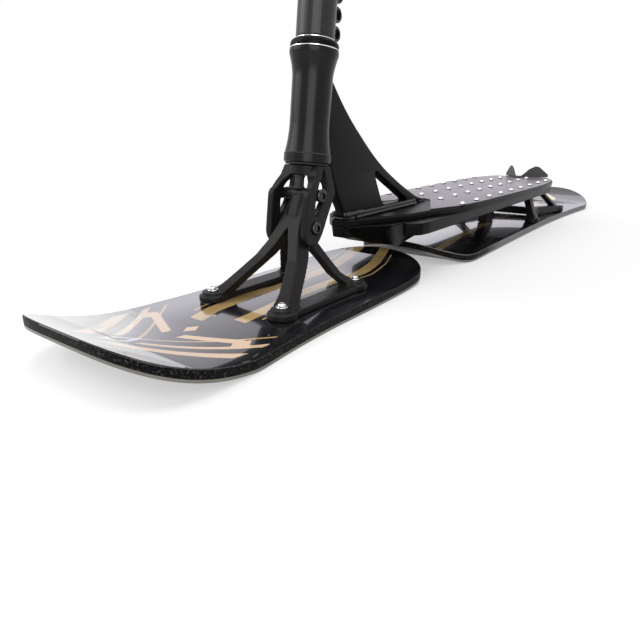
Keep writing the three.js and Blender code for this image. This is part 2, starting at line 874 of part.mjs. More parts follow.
function addGripSheet(group) {
  const low = deck.top - gripSheet.thick;
  const ribHalf = weldRib.half + gap;
  const slot = box(weldRib.rear - gap, deck.tip, -ribHalf, ribHalf, low - overrun, deck.top + overrun);
  const sheet = planPlate(deckOutline(gripSheet.inset), low, deck.top).subtract(slot);
  const studs = studPlaces().map(([x, y]) => {
    const cone = new THREE.CylinderGeometry(stud.tip, stud.base, stud.high + gap, 6).rotateX(Math.PI / 2);
    return solidOf(cone.translate(x, y, deck.top + (stud.high - gap) / 2));
  });
  addMesh(group, "grip_sheet", join([sheet, ...studs]), deckGrey());
}

// Down tube welded on a rib

const tubeRearShares = [
  [0, 0],
  [0.231, 0.12],
  [0.397, 0.243],
  [0.574, 0.4],
  [0.74, 0.593],
  [0.872, 0.773],
  [0.963, 0.927],
  [1, 1],
];
const tubeFrontShares = [
  [1.02, 0.477],
  [0.96, 0.358],
  [0.89, 0.185],
  [0.857, 0.1],
  [0.811, 0.007],
];
const tubeWindowShares = [
  [0.28, 0.06],
  [0.48, 0.06],
  [0.563, 0.28],
];

const axisX = (z) => -z * Math.tan(rake);

function addDownTube(group) {
  const { half, rear, headBehind, headHigh, corner } = downTube;
  const inTube = (shares) => inBox(shares, rear, axisX(headHigh) - headBehind, deck.top, headHigh);
  const front = inTube(tubeFrontShares);
  const frontHigh = front[0][1];
  const insideHead = [headHigh, frontHigh].map((high) => [axisX(high), high]);
  const outline = [...inTube(tubeRearShares), ...insideHead, ...front];
  const plate = sidePlate(outline.reverse(), -half, half);
  const window = sidePlate(rounded(inTube(tubeWindowShares), corner), -half - overrun, half + overrun);
  const below = box(rear - overrun, 0, -half - overrun, half + overrun, 0, ribTop);
  const headRoom = lean(turned([[0, head.bottom - gap], ...headOutline(gap), [0, headTop + gap]], 36));
  addMesh(group, "down_tube", cut(plate, [window, below, headRoom]), satinBlack());
}

function addWeldRib(group) {
  const { half, topHalf, front, rear, nose, heel, heelHalf, high } = weldRib;
  const low = deck.top - gripSheet.thick;
  const outline = [
    [front, topHalf, low],
    [front - nose, half, low],
    [rear + heel, half, low],
    [rear, heelHalf, low],
    [front - nose, topHalf, deck.top + high],
    [rear + heel, topHalf, deck.top + high],
  ];
  const rib = hull([...outline, ...outline.map(([x, y, z]) => [x, -y, z])]);
  addMesh(group, "weld_rib", rib, satinBlack());
}

// Keel under the deck's front

function addKeel(group) {
  const { front, rear, chin, chinHigh, bottom, bottomFront, bottomRear, topHalf, bottomHalf } = keel;
  const nose = [
    [front, deck.tipHalf, deckUnder],
    [chin, deck.neckHalf - overrun, deckUnder],
    [front, deck.tipHalf, chinHigh + overrun],
    [chin, bottomHalf, chinHigh],
  ];
  const body = [
    [chin + overrun, bottomHalf, deckUnder],
    [chin + overrun, bottomHalf, chinHigh],
    [deck.shoulder, topHalf, deckUnder],
    [rear, topHalf, deckUnder],
    [bottomFront, bottomHalf, bottom],
    [bottomRear, bottomHalf, bottom + overrun],
  ];
  const bothSides = (points) => hull([...points, ...points.map(([x, y, z]) => [x, -y, z])]);
  addMesh(group, "front_keel", bothSides(nose).add(bothSides(body)), satinBlack());
}

// Tail stop: a low band with two raised wings

const wingY = (x) => {
  const { front, rear, half } = tailStop;
  const rootShare = 0.42;
  const tipShare = 1.25;
  return half * (rootShare + ((tipShare - rootShare) * (front - x)) / (front - rear));
};

function addTailStop(group) {
  const { front, rear, half, thick, finThick, finHigh, bandDeep, bandBack } = tailStop;
  const low = deck.top + gap;
  const peak = rear + bandDeep;
  const wing = hull([
    [front, wingY(front), low],
    [front, wingY(front) + finThick, low],
    [rear, wingY(rear), low],
    [rear, wingY(rear) + finThick, low],
    [peak, wingY(peak), low + finHigh],
    [peak, wingY(peak) + finThick / 2, low + finHigh],
  ]);
  const band = box(rear + bandBack, rear + bandBack + bandDeep, -half, half, low, low + thick);
  addMesh(group, "tail_stop", join([band, wing, across(wing)]), satinBlack());
}

// Rear truck: carries the rear ski under the deck

function addRearTruck(group) {
  const t = rearTruck;
  const footTop = skiTop + t.footHigh;
  const under = deckUnder - t.plateThick;
  const barMiddle = skiTop + t.footHigh + t.barHigh / 2;
  const arm = [t.armThick, t.armThick, t.barHigh];
  const slim = [t.armThick, t.footHigh, t.footHigh];
  const parts = [
    planPlate(roundedBlock(t.plateRear, t.plateFront, t.plateHalf, t.footRadius), under, deckUnder),
    box(t.bar - t.armThick / 2, t.bar + t.armThick / 2, -t.barHalf, t.barHalf, footTop, footTop + t.barHigh),
    box(t.postRear, t.postFront, -t.postHalf, t.postHalf, skiTop, deckUnder),
    box(t.plateFront - overrun, t.postFront, -t.postHalf, t.postHalf, deckUnder - t.boomHigh, deckUnder),
  ];
  for (const [, side] of sides) {
    const middle = [t.bar, side * t.barHalf, barMiddle];
    for (const [bolt, plateX] of [
      [t.boltFront, t.plateFront - t.armThick],
      [t.boltRear, t.plateRear + t.armThick],
    ]) {
      const foot = [bolt, side * t.boltSide, skiTop + t.footHigh];
      const hung = [plateX, side * (t.plateHalf - t.footHigh), under];
      parts.push(limb([middle, foot], [arm, slim]));
      parts.push(rod(t.footRadius, skiTop, footTop, 20).translate(bolt, side * t.boltSide, 0));
      if (bolt === t.boltRear) parts.push(limb([hung, foot], [slim, slim]));
      else parts.push(limb([hung, middle], [slim, slim]));
    }
  }
  const places = fourBolts(t);
  addMesh(group, "rear_truck", cut(join(parts), boltRoom(places, footTop, skiBolt.head)), satinBlack());
  addSkiBolts(group, "rear_ski_bolt", places, footTop, false);
}

// The whole scooter

const scooter = new THREE.Group();
const level = new THREE.Group();
level.position.x = steerX;
const leaning = new THREE.Group();
leaning.position.x = steerX;
leaning.rotation.y = -rake;
scooter.add(level, leaning);

addHeadTube(leaning);
addHeadset(leaning);
addFork(leaning);
addForkBolts(leaning);
addSteererParts(leaning);
addClamp(leaning);
addHandlebar(leaning);
addSki(level, "front_ski", frontSki, fourBolts(truck));
addTruck(level);
addSki(level, "rear_ski", rearSki, fourBolts(rearTruck));
addRearTruck(level);
addDeck(level);
addGripSheet(level);
addDownTube(level);
addWeldRib(level);
addKeel(level);
addTailStop(level);

export default scooter;
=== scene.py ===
import json
import math
import random

import bpy
from mathutils import Matrix, Vector


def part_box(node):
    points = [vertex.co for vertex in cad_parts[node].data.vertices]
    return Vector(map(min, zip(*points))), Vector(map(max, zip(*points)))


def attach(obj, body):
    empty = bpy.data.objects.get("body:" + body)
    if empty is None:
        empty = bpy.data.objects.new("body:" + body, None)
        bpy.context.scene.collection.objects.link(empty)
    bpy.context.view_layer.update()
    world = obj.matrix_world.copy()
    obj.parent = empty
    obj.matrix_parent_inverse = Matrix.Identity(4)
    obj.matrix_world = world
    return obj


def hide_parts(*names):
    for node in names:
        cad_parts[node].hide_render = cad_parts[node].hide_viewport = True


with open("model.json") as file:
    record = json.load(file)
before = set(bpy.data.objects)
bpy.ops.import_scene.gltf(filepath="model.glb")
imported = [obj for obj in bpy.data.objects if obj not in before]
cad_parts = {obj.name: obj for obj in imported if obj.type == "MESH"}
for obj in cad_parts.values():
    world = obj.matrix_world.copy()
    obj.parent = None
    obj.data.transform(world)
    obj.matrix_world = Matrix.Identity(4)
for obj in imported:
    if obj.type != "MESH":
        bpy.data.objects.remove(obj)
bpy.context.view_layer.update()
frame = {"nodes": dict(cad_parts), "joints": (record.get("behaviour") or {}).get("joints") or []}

# The frame, in metres: +X forward, +Y to the rider's left, +Z up
nodes = frame["nodes"]
mm = 0.001
steeringJoint = frame["joints"][0]
steeringFoot = Vector(steeringJoint["pos_m"])
steeringAxis = Vector(steeringJoint["axis"])
rake = math.atan2(-steeringAxis.x, steeringAxis.z)
leaning = Matrix.Translation(steeringFoot) @ Matrix.Rotation(-rake, 4, "Y")
upright = leaning.inverted()
levelMm = Matrix.Translation(steeringFoot) @ Matrix.Scale(mm, 4)  # millimetres from the steering foot
leaningMm = leaning @ Matrix.Scale(mm, 4)  # the same, along and across the steering axis
steered, carried = "steering", "frame"
dice = random.Random(7)
print("frame loaded with", len(nodes), "nodes")


def axisBox(*names):
    # lowest and highest corner of some nodes, measured along and across the steering axis
    points = [upright @ v.co for name in names for v in nodes[name].data.vertices]
    low = Vector(min(p[i] for p in points) for i in range(3))
    high = Vector(max(p[i] for p in points) for i in range(3))
    return low, high


# Camera, first
camera = {
    "fromFoot": (439.5, 358.8, 181.2),
    "yaw": math.radians(36.79),
    "pitch": math.radians(19.97),
    "lens": 30.01,
    "sensor": 36,
    "clip": (0.01, 50),
}
look = Vector(
    (
        -math.cos(camera["pitch"]) * math.cos(camera["yaw"]),
        -math.cos(camera["pitch"]) * math.sin(camera["yaw"]),
        -math.sin(camera["pitch"]),
    )
)
eye = steeringFoot + mm * Vector(camera["fromFoot"])
bpy.ops.object.camera_add(location=eye, rotation=look.to_track_quat("-Z", "Y").to_euler())
viewer = bpy.context.object
viewer.data.lens = camera["lens"]
viewer.data.sensor_width = camera["sensor"]
viewer.data.clip_start, viewer.data.clip_end = camera["clip"]
bpy.context.scene.camera = viewer
bpy.context.scene.view_settings.view_transform = "Standard"
print("camera set")


# Shader helpers
def asWritten(operation):
    return lambda self, other: self.maths(operation, self, other)


def turnedRound(operation):
    return lambda self, other: self.maths(operation, other, self)


class Signal:
    # one shader value, so that masks are written as sums and products
    __add__, __radd__ = asWritten("ADD"), turnedRound("ADD")
    __sub__, __rsub__ = asWritten("SUBTRACT"), turnedRound("SUBTRACT")
    __mul__, __rmul__ = asWritten("MULTIPLY"), turnedRound("MULTIPLY")
    __truediv__, __rtruediv__ = asWritten("DIVIDE"), turnedRound("DIVIDE")
    __gt__, __lt__ = asWritten("GREATER_THAN"), asWritten("LESS_THAN")
    most = asWritten("MAXIMUM")

    def __init__(self, paint, socket):
        self.paint = paint
        self.socket = socket

    def __abs__(self):
        return self.maths("ABSOLUTE", self)

    def maths(self, operation, first, second=0.0, clamp=False):
        settings = {"operation": operation, "use_clamp": clamp}
        return self.paint.node("ShaderNodeMath", settings, {0: first, 1: second})

    def clamped(self):
        return self.maths("ADD", self, 0.0, clamp=True)


class Paint:
    # a node tree and the one way that nodes are added to it
    def __init__(self, name, owner=None):
        self.owner = owner or bpy.data.materials.new(name)
        self.owner.use_nodes = True
        self.tree = self.owner.node_tree
        self.shader = self.tree.nodes.get("Principled BSDF")

    def node(self, kind, settings, inputs, output=0):
        made = self.tree.nodes.new(kind)
        for key, value in settings.items():
            setattr(made, key, value)
        for key, value in inputs.items():
            self.feed(made.inputs[key], value)
        return Signal(self, made.outputs[output])

    def feed(self, socket, value):
        if isinstance(value, Signal):
            self.tree.links.new(value.socket, socket)
        elif socket.type == "RGBA" and len(value) == 3:
            socket.default_value = (*value, 1)
        else:
            socket.default_value = value

    def set(self, **sockets):
        for name, value in sockets.items():
            self.feed(self.shader.inputs[name.replace("_", " ")], value)

    def place(self):
        return self.node("ShaderNodeTexCoord", {}, {}, "Object")

    def axes(self):
        place = self.place()
        return [self.node("ShaderNodeSeparateXYZ", {}, {0: place}, i) for i in range(3)]

    def noise(self, scale, detail=2.0, vector=None):
        inputs = {"Scale": scale, "Detail": detail, "Vector": vector or self.place()}
        return self.node("ShaderNodeTexNoise", {}, inputs, "Fac")

    def stretched(self, scale):
        return self.node("ShaderNodeMapping", {}, {"Vector": self.place(), "Scale": scale})

    def mix(self, factor, first, second):
        settings = {"data_type": "RGBA"}
        return self.node("ShaderNodeMix", settings, {0: factor, 6: first, 7: second}, 2)

    def bump(self, height, strength, distance):
        inputs = {"Height": height, "Strength": strength, "Distance": distance}
        self.set(Normal=self.node("ShaderNodeBump", {}, inputs, "Normal"))


def grey(value, warmth=0.0):
    return (value * (1 + warmth), value, value * (1 - warmth))


# Finishes
def powderCoat(name, tone, gloss, sheen, grain=900.0, warmth=0.05):
    # satin black powder coat with a faint orange peel and uneven sheen
    paint = Paint(name)
    cloud = paint.noise(38.0, 3.0)
    fine = paint.noise(grain, 2.0)
    paint.set(
        Base_Color=paint.mix(cloud, grey(tone * 0.8, warmth), grey(tone * 1.25, warmth)),
        Roughness=(gloss - 0.05) + 0.07 * cloud + 0.05 * fine,
        Specular_IOR_Level=sheen,
    )
    paint.bump(fine + 0.4 * paint.noise(grain / 5, 1.0), 0.12, 0.00018)
    return paint.owner


def bareMetal(name, colour, gloss, brush=(40.0, 40.0, 900.0), polish=0.06):
    # machined metal with fine turning marks
    paint = Paint(name)
    marks = paint.noise(1.0, 3.0, paint.stretched(brush))
    cloud = paint.noise(60.0, 2.0)
    dark = tuple(c * 0.82 for c in colour)
    paint.set(
        Base_Color=paint.mix(cloud, dark, colour),
        Metallic=1.0,
        Roughness=gloss + polish * marks + polish * cloud,
    )
    paint.bump(marks, 0.08, 0.0001)
    return paint.owner


def moulded(name, tone, gloss, grain, depth):
    # rubber and plastic with a fine moulded grain
    paint = Paint(name)
    fine = paint.noise(grain, 3.0)
    cloud = paint.noise(50.0, 2.0)
    paint.set(
        Base_Color=paint.mix(cloud, grey(tone * 0.75), grey(tone * 1.3)),
        Roughness=gloss + 0.1 * fine,
    )
    paint.bump(fine, 0.25, depth)
    return paint.owner


def deckFinish():
    # grey anodised sheet: fine brushing along the deck, a little scuffed between the studs
    paint = Paint("deckFinish")
    brushed = paint.noise(1.0, 3.0, paint.stretched((60.0, 1400.0, 60.0)))
    scuff = paint.noise(26.0, 4.0)
    base = paint.mix(scuff, (0.17, 0.154, 0.168), (0.25, 0.229, 0.246))
    paint.set(
        Base_Color=paint.mix(0.35 * brushed, base, (0.36, 0.333, 0.355)),
        Metallic=0.75,
        Roughness=0.26 + 0.12 * scuff + 0.06 * brushed,
    )
    paint.bump(brushed, 0.05, 0.00008)
    return paint.owner


def band(value, middle, width):
    # one inside a stripe about a middle, none outside
    return abs(value - middle) < width / 2


def bent(x, points):
    # a line that runs straight from one (x, y) to the next
    (startX, startY), *rest = points
    line, slope, lastX, lastY = startY, 0.0, startX, startY
    for nextX, nextY in rest:
        steeper = (nextY - lastY) / (nextX - lastX)
        line = line + (steeper - slope) * (x - lastX).most(0.0)
        slope, lastX, lastY = steeper, nextX, nextY
    return line


# The skis' print, in mm from the steering foot along the ski and from its middle line outwards
skiPrint = {
    "gold": (0.48, 0.32, 0.13),
    "amber": (0.64, 0.44, 0.27),
    "pale": (0.60, 0.57, 0.63),
    "black": (0.0055, 0.0055, 0.007),
    "brightGold": (0.56, 0.36, 0.12),
    "tail": (0.80, 0.74, 0.45),
    "stripes": (  # the line's points, its width and end, the distance and end of the thin line beside it
        (((-221, -8), (-145, 12), (-104, 16), (-60, 11), (13, 10), (66, 17), (114, 21)), 15, 112, 15, 96),
        (((-188, -37), (-80, -29), (3, -24), (42, -29), (103, -25), (140, -14)), 17, 132, -16, 116),
    ),
    "thinWidth": 2.4,
    "thinStart": -170.0,
    "chevrons": (  # how far the arms fall back for each mm outwards, place, width, from and to, colour
        (1.15, 262.0, 17.0, 14.0, 80.0, "amber"),
        (1.15, 232.0, 9.0, 14.0, 80.0, "amber"),
        (0.5, 176.0, 10.0, 9.0, 58.0, "amber"),
        (1.15, 206.0, 4.0, -1.0, 74.0, "gold"),
    ),
    "lozenges": (  # place along and out, half length and width, 1 for paint or -1 for none, colour
        (152.0, 62.0, 13.0, 9.0, 1.0, "amber"),
        (152.0, 0.0, 9.0, 6.0, 1.0, "amber"),
        (222.0, 0.0, 20.0, 10.0, 1.0, "pale"),
        (222.0, 0.0, 11.0, 5.0, -1.0, "pale"),
    ),
    "rearStripe": (
        *((-1000, 12), (-682, 9), (-573, 7), (-509, 12)),
        *((-451, 16), (-398, 20), (-343, 27), (-219, 42)),
    ),
    "rearWidth": 13.0,
    "rearStart": -870.0,
    "tailBar": (0.9, 985.0, 20.0, 25.0),  # slope, place, width, and how far left it reaches
}


def printedTop(name, drawing):
    # lacquered top sheet: print under a clear coat
    paint = Paint(name)
    x, y, z = paint.axes()
    colour = drawing(paint, x * 1000.0 - steeringFoot.x * 1000.0, y * 1000.0)
    dust = paint.noise(420.0, 4.0)
    paint.set(
        Base_Color=colour,
        Roughness=0.16 + 0.06 * dust,
        Specular_IOR_Level=0.3,
        Coat_Weight=1.0,
        Coat_Roughness=0.02,
    )
    paint.bump(paint.noise(24.0, 1.0), 0.04, 0.0006)
    return paint.owner


def frontPrint(paint, x, y):
    # two long racing stripes, and nested chevrons with lozenges towards the nose
    side = abs(y)
    marks = {"gold": 0.0, "amber": 0.0, "pale": 0.0}
    for points, width, end, beside, thinEnd in skiPrint["stripes"]:
        line = y - bent(x, points)
        thin = band(line, beside, skiPrint["thinWidth"]) * (x < thinEnd) * (x > skiPrint["thinStart"])
        marks["gold"] = marks["gold"] + band(line, 0.0, width) * (x < end) + thin
    for slope, place, width, start, end, colour in skiPrint["chevrons"]:
        arm = band(x + slope * side, place, width) * (side > start) * (side < end)
        marks[colour] = marks[colour] + arm
    for along, out, long, wide, share, colour in skiPrint["lozenges"]:
        inside = (abs(x - along) / long + abs(side - out) / wide) < 1.0
        marks[colour] = marks[colour] + share * inside
    printed = skiPrint["black"]
    for colour, mask in marks.items():
        printed = paint.mix(mask.clamped(), printed, skiPrint[colour])
    return printed


def rearPrint(paint, x, y):
    # one stripe carried on along the rear ski, and a bar across its tail
    line = y - bent(x, skiPrint["rearStripe"])
    gold = band(line, 0.0, skiPrint["rearWidth"]) * (x > skiPrint["rearStart"])
    slope, place, width, left = skiPrint["tailBar"]
    bar = band(y * slope - x, place, width) * (y < left)
    colour = paint.mix(gold, skiPrint["black"], skiPrint["brightGold"])
    return paint.mix(bar.clamped(), colour, skiPrint["tail"])


def wallFinish(name, pale, paintedRimHighlight):
    # pressed sidewall with grey specks; a painted reflection makes it paler towards the tail where asked, and
    # a painted highlight lightens its rounded upper rim
    paint = Paint(name)
    x, y, z = paint.axes()
    speck = paint.noise(620.0, 4.0)
    # painted reflection: behind the rear ski's front the wall is painted paler grey, standing in for the
    # white surround it mirrors at a grazing angle
    paintedReflectionTowardsTail = ((steeringFoot.x - 0.33 - x) * 14.0).clamped() * pale
    black = paint.mix((speck > 0.6) * 0.6, (0.0035, 0.0035, 0.004), (0.085, 0.08, 0.076))
    normal = paint.node("ShaderNodeNewGeometry", {}, {}, "Normal")
    up = paint.node("ShaderNodeSeparateXYZ", {}, {0: normal}, 2)
    # painted highlight: faces of the upper bevel that point partly upwards get a light grey colour, as a
    # highlight along the rim
    rim = (up > 0.35) * (up < 0.93) * paintedRimHighlight
    black = paint.mix(rim, black, (0.36, 0.35, 0.35))  # painted highlight: the upward-facing rounded upper rim is painted light grey
    paint.set(
        Base_Color=paint.mix(paintedReflectionTowardsTail, black, (0.22, 0.21, 0.23)),
        Roughness=0.30 + 0.3 * speck,
        Specular_IOR_Level=0.05,
    )
    paint.bump(speck, 0.35, 0.0003)
    return paint.owner


finishes = {
    "coat": powderCoat("coatBlack", 0.0030, 0.32, 0.06),
    "cast": powderCoat("castBlack", 0.0095, 0.34, 0.11, 620.0, 0.09),
    "tube": powderCoat("tubeBlack", 0.0042, 0.34, 0.08, 900.0, 0.0),
    "satin": powderCoat("satinBlack", 0.0110, 0.30, 0.34, 900.0, 0.07),
    "head": powderCoat("headBlack", 0.0032, 0.24, 0.20, 900.0, 0.02),
    "deck": deckFinish(),
    "tip": bareMetal("studTip", (0.86, 0.85, 0.84), 0.16),
    "steel": bareMetal("boltSteel", (0.72, 0.72, 0.70), 0.20),
    "dark": bareMetal("darkSteel", (0.05, 0.05, 0.05), 0.20),
    "edge": bareMetal("edgeSteel", (0.20, 0.19, 0.17), 0.24, (8.0, 8.0, 1200.0)),
    "chrome": bareMetal("ringChrome", (0.88, 0.88, 0.87), 0.08, (60.0, 60.0, 400.0), 0.03),
    "inner": bareMetal("innerSteel", (0.55, 0.55, 0.54), 0.32),
    "rubber": moulded("gripRubber", 0.012, 0.66, 900.0, 0.0003),
    "plastic": moulded("plugPlastic", 0.014, 0.48, 1300.0, 0.00012),
    "base": moulded("soleBlack", 0.012, 0.34, 1500.0, 0.00006),
    # the two numbers are how much painted reflection towards the tail and how much painted highlight on the
    # upper rim each wall gets
    "frontWall": wallFinish("frontWall", 0.0, 0.15),
    "rearWall": wallFinish("rearWall", 1.0, 1.0),
    "frontTop": printedTop("frontTop", frontPrint),
    "rearTop": printedTop("rearTop", rearPrint),
    "weld": powderCoat("weldBlack", 0.016, 0.30, 0.40, 1500.0),
    "fin": powderCoat("finGrey", 0.055, 0.42, 0.35, 900.0, 0.03),
}
print("finishes mixed:", len(finishes))


# Modelling helpers
def only(piece):
    bpy.ops.object.select_all(action="DESELECT")
    piece.select_set(True)
    bpy.context.view_layer.objects.active = piece


def edit(piece, everything=True):
    only(piece)
    bpy.ops.object.mode_set(mode="EDIT")
    if everything:
        bpy.ops.mesh.select_all(action="SELECT")


def closeUp(piece, merge=0.00002, outward=True):
    # merges doubles and turns the faces outwards
    edit(piece)
    bpy.ops.mesh.remove_doubles(threshold=merge)
    if outward:
        bpy.ops.mesh.normals_make_consistent(inside=False)
    bpy.ops.object.mode_set(mode="OBJECT")
    return piece


def settle(piece, matrix=None):
    # puts a piece at its place, with the place in its mesh
    if matrix is not None:
        piece.matrix_world = matrix @ piece.matrix_world
    only(piece)
    bpy.ops.object.transform_apply(location=True, rotation=True, scale=True)
    return piece


def modify(piece, kind, **settings):
    only(piece)
    modifier = piece.modifiers.new(kind.lower(), kind)
    for key, value in settings.items():
        setattr(modifier, key, value)
    bpy.ops.object.modifier_apply(modifier=modifier.name)
    return piece


def smooth(piece, degrees=30):
    only(piece)
    bpy.ops.object.shade_smooth_by_angle(angle=math.radians(degrees), keep_sharp_edges=False)
    return piece


def finishPiece(piece, name, finish, body, replaced=()):
    piece.name = piece.data.name = name
    piece.data.materials.clear()
    piece.data.materials.append(finishes[finish])
    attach(piece, body)
    if replaced:
        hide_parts(*replaced)


def joined(pieces):
    bpy.ops.object.select_all(action="DESELECT")
    for piece in pieces:
        piece.select_set(True)
    bpy.context.view_layer.objects.active = pieces[0]
    bpy.ops.object.join()
    return bpy.context.object


def turned(profile, sides, capped=False):
    # a ring drawn up its profile of (radius, height), one extrusion for each step
    (radius, height), *rest = profile
    bpy.ops.mesh.primitive_circle_add(vertices=sides, radius=radius, location=(0, 0, height))
    piece = settle(bpy.context.object)
    edit(piece)
    if capped:
        bpy.ops.mesh.edge_face_add()
        bpy.ops.mesh.select_mode(type="EDGE")
    for wide, high in rest:
        bpy.ops.mesh.extrude_edges_move(TRANSFORM_OT_translate={"value": (0, 0, high - height)})
        grow = wide / radius
        bpy.ops.transform.resize(value=(grow, grow, 1), center_override=(0, 0, high))
        radius, height = wide, high
    if capped:
        bpy.ops.mesh.edge_face_add()
    bpy.ops.object.mode_set(mode="OBJECT")
    return closeUp(piece)


def turnedAt(profile, sides, lie, capped=False):
    return smooth(settle(turned(profile, sides, capped), lie))


def slab(outlines, thick, bevel, lie, rounding=3):
    # a plate from flat outlines in mm of (x, y) or (x, y, "smooth"), its edges rounded
    curve = bpy.data.curves.new("outline", "CURVE")
    curve.dimensions = "2D"
    curve.fill_mode = "BOTH"
    curve.extrude = thick / 2 - bevel
    curve.bevel_depth = bevel
    curve.bevel_resolution = rounding
    curve.offset = -bevel
    curve.resolution_u = 10
    for outline in outlines:
        spline = curve.splines.new("BEZIER")
        spline.bezier_points.add(len(outline) - 1)
        spline.use_cyclic_u = True
        for point, (x, y, *kind) in zip(spline.bezier_points, outline):
            point.co = (x, y, 0)
            handle = "AUTO" if kind else "VECTOR"
            point.handle_left_type = point.handle_right_type = handle
    holder = bpy.data.objects.new("outline", curve)
    bpy.context.collection.objects.link(holder)
    only(holder)
    bpy.ops.object.convert(target="MESH")
    return closeUp(settle(bpy.context.object, lie))


def limb(sections, lie):
    # a solid drawn through level sections in mm of (x, y, z, length, width)
    x, y, z, long, wide = sections[0]
    bpy.ops.mesh.primitive_plane_add(size=1, location=(x, y, z))
    piece = bpy.context.object
    piece.scale = (long, wide, 1)
    edit(settle(piece))
    for nextX, nextY, nextZ, nextLong, nextWide in sections[1:]:
        step = (nextX - x, nextY - y, nextZ - z)
        bpy.ops.mesh.extrude_region_move(TRANSFORM_OT_translate={"value": step})
        grow = (nextLong / long, nextWide / wide, 1)
        bpy.ops.transform.resize(value=grow, center_override=(nextX, nextY, nextZ))
        x, y, z, long, wide = nextX, nextY, nextZ, nextLong, nextWide
    bpy.ops.object.mode_set(mode="OBJECT")
    return closeUp(settle(piece, lie))


def mirrored(sections, sign):
    # a limb's sections on the left for 1, on the right for -1
    return [(x, sign * y, z, long, wide) for x, y, z, long, wide in sections]


def wedge(corners, lie):
    # a block with its eight corners moved: rear then front, each right low, right high, left low, left high
    bpy.ops.mesh.primitive_cube_add(size=1)
    piece = bpy.context.object
    for v, corner in zip(piece.data.vertices, corners):
        v.co = corner
    return closeUp(settle(piece, lie))


def keeled(stations, lie):
    # blocks from one cross section to the next, each (x, half at the top, half below, top, bottom)
    pieces = []
    for rear, front in zip(stations[1:], stations):
        corners = []
        for x, topHalf, lowHalf, top, bottom in (rear, front):
            corners += [(x, -lowHalf, bottom), (x, -topHalf, top), (x, lowHalf, bottom), (x, topHalf, top)]
        pieces.append(wedge(corners, lie))
    return pieces


def pin(radius, low, high, lie, sides=32):
    # a plain round block that is run into a casting
    middle = (0, 0, (low + high) / 2)
    bpy.ops.mesh.primitive_cylinder_add(vertices=sides, radius=radius, depth=high - low, location=middle)
    return closeUp(settle(bpy.context.object, lie))


def cast(piece, shape, name, finish, body, node):
    # one skin with its edges and corners run together, as a casting or a forging has
    modify(piece, "REMESH", mode="VOXEL", voxel_size=shape["voxel"])
    modify(piece, "SMOOTH", factor=0.5, iterations=shape["rounds"])
    bpy.ops.object.shade_smooth()
    finishPiece(piece, name, finish, body, [node])
    print(name, "run together:", len(piece.data.polygons), "faces")


def roundedOutline(points, radius, steps=6):
    # corners cut back and joined by a smooth turn
    made = []
    for i, point in enumerate(points):
        here, before, after = Vector(point), Vector(points[i - 1]), Vector(points[(i + 1) % len(points)])
        start = here + (before - here).normalized() * min(radius, (before - here).length / 2)
        end = here + (after - here).normalized() * min(radius, (after - here).length / 2)
        for k in range(steps + 1):
            t = k / steps
            spot = start * (1 - t) ** 2 + here * 2 * t * (1 - t) + end * t * t
            made.append((spot.x, spot.y))
    return made


standing = Matrix.Rotation(math.radians(90), 4, "X")  # a flat outline's second number becomes its height
acrossY = Matrix.Rotation(math.radians(-90), 4, "X")  # what was drawn up Z points to the rider's left


def copyOf(node):
    # a loose copy of a CAD solid, merged, to be worked on
    piece = nodes[node].copy()
    piece.data = nodes[node].data.copy()
    bpy.context.collection.objects.link(piece)
    for key in list(piece.keys()):
        del piece[key]
    piece.parent = None
    piece.matrix_world = Matrix.Identity(4)
    return closeUp(piece, 0.00001, outward=False)


# Skis
skis = {
    "front": {
        "body": steered,
        "waist": 170,
        "nose": {"x": 269, "wide": 189, "round": 104, "power": 4.2, "lift": 34, "run": 121},
        "tail": {"x": -186, "wide": 164, "round": 67, "power": 2.1, "lift": 15, "run": 96},
    },
    "rear": {
        "body": carried,
        "waist": 173,
        "nose": {"x": -219, "wide": 179, "round": 85, "power": 2.2, "lift": 20, "run": 66},
        "tail": {"x": -1032, "wide": 203, "round": 113, "power": 2.3, "lift": 25, "run": 101},
    },
}
skiBuild = {
    "thick": 11,
    "soleTop": 2.95,
    "soleGap": (0.2, 0.1),  # inside the steel edge, low down and at the top
    "wallLow": 3.05,
    "wallFoot": (0.2, 0.3),
    "edge": 2.4,
    "edgeBroken": 0.35,
    "rim": 1.1,
    "rimCut": 0.3,
    "endSteps": 34,
    "middleSteps": 26,
}


def skiHalf(plan, x):
    nose, tail = plan["nose"], plan["tail"]
    front, back = nose["x"] - nose["round"], tail["x"] + tail["round"]
    for end, past in ((nose, x - front), (tail, back - x)):
        if past > 0:
            share = min(past / end["round"], 1)
            return end["wide"] / 2 * (1 - share ** end["power"]) ** (1 / end["power"])
    middle = (front + back) / 2
    share = abs(x - middle) / (front - middle)
    end = nose if x > middle else tail
    return (plan["waist"] + (end["wide"] - plan["waist"]) * share * share) / 2


def skiLift(plan, x):
    nose, tail = plan["nose"], plan["tail"]
    forward = max((x - nose["x"] + nose["run"]) / nose["run"], 0)
    backward = max((tail["x"] + tail["run"] - x) / tail["run"], 0)
    return nose["lift"] * forward**2 + tail["lift"] * backward**2


def skiOutline(plan):
    # the left edge from nose to tail and the right edge back, close together where the outline turns
    (nose, noseLong), (tail, tailLong) = [
        (plan[end]["x"], max(plan[end]["round"], plan[end]["run"])) for end in ("nose", "tail")
    ]
    steps, middle = skiBuild["endSteps"], skiBuild["middleSteps"]
    shares = [1 - math.cos(math.pi / 2 * i / steps) for i in range(1, steps + 1)]
    front, back = nose - noseLong, tail + tailLong
    stations = [nose - noseLong * share for share in shares]
    stations += [front + (back - front) * i / middle for i in range(1, middle)]
    stations += [tail + tailLong * share for share in reversed(shares)]
    left = [(x, skiHalf(plan, x)) for x in stations]
    left[0] = (nose, left[0][1])
    left[-1] = (tail, left[-1][1])
    return left + [(x, -half) for x, half in reversed(left)]


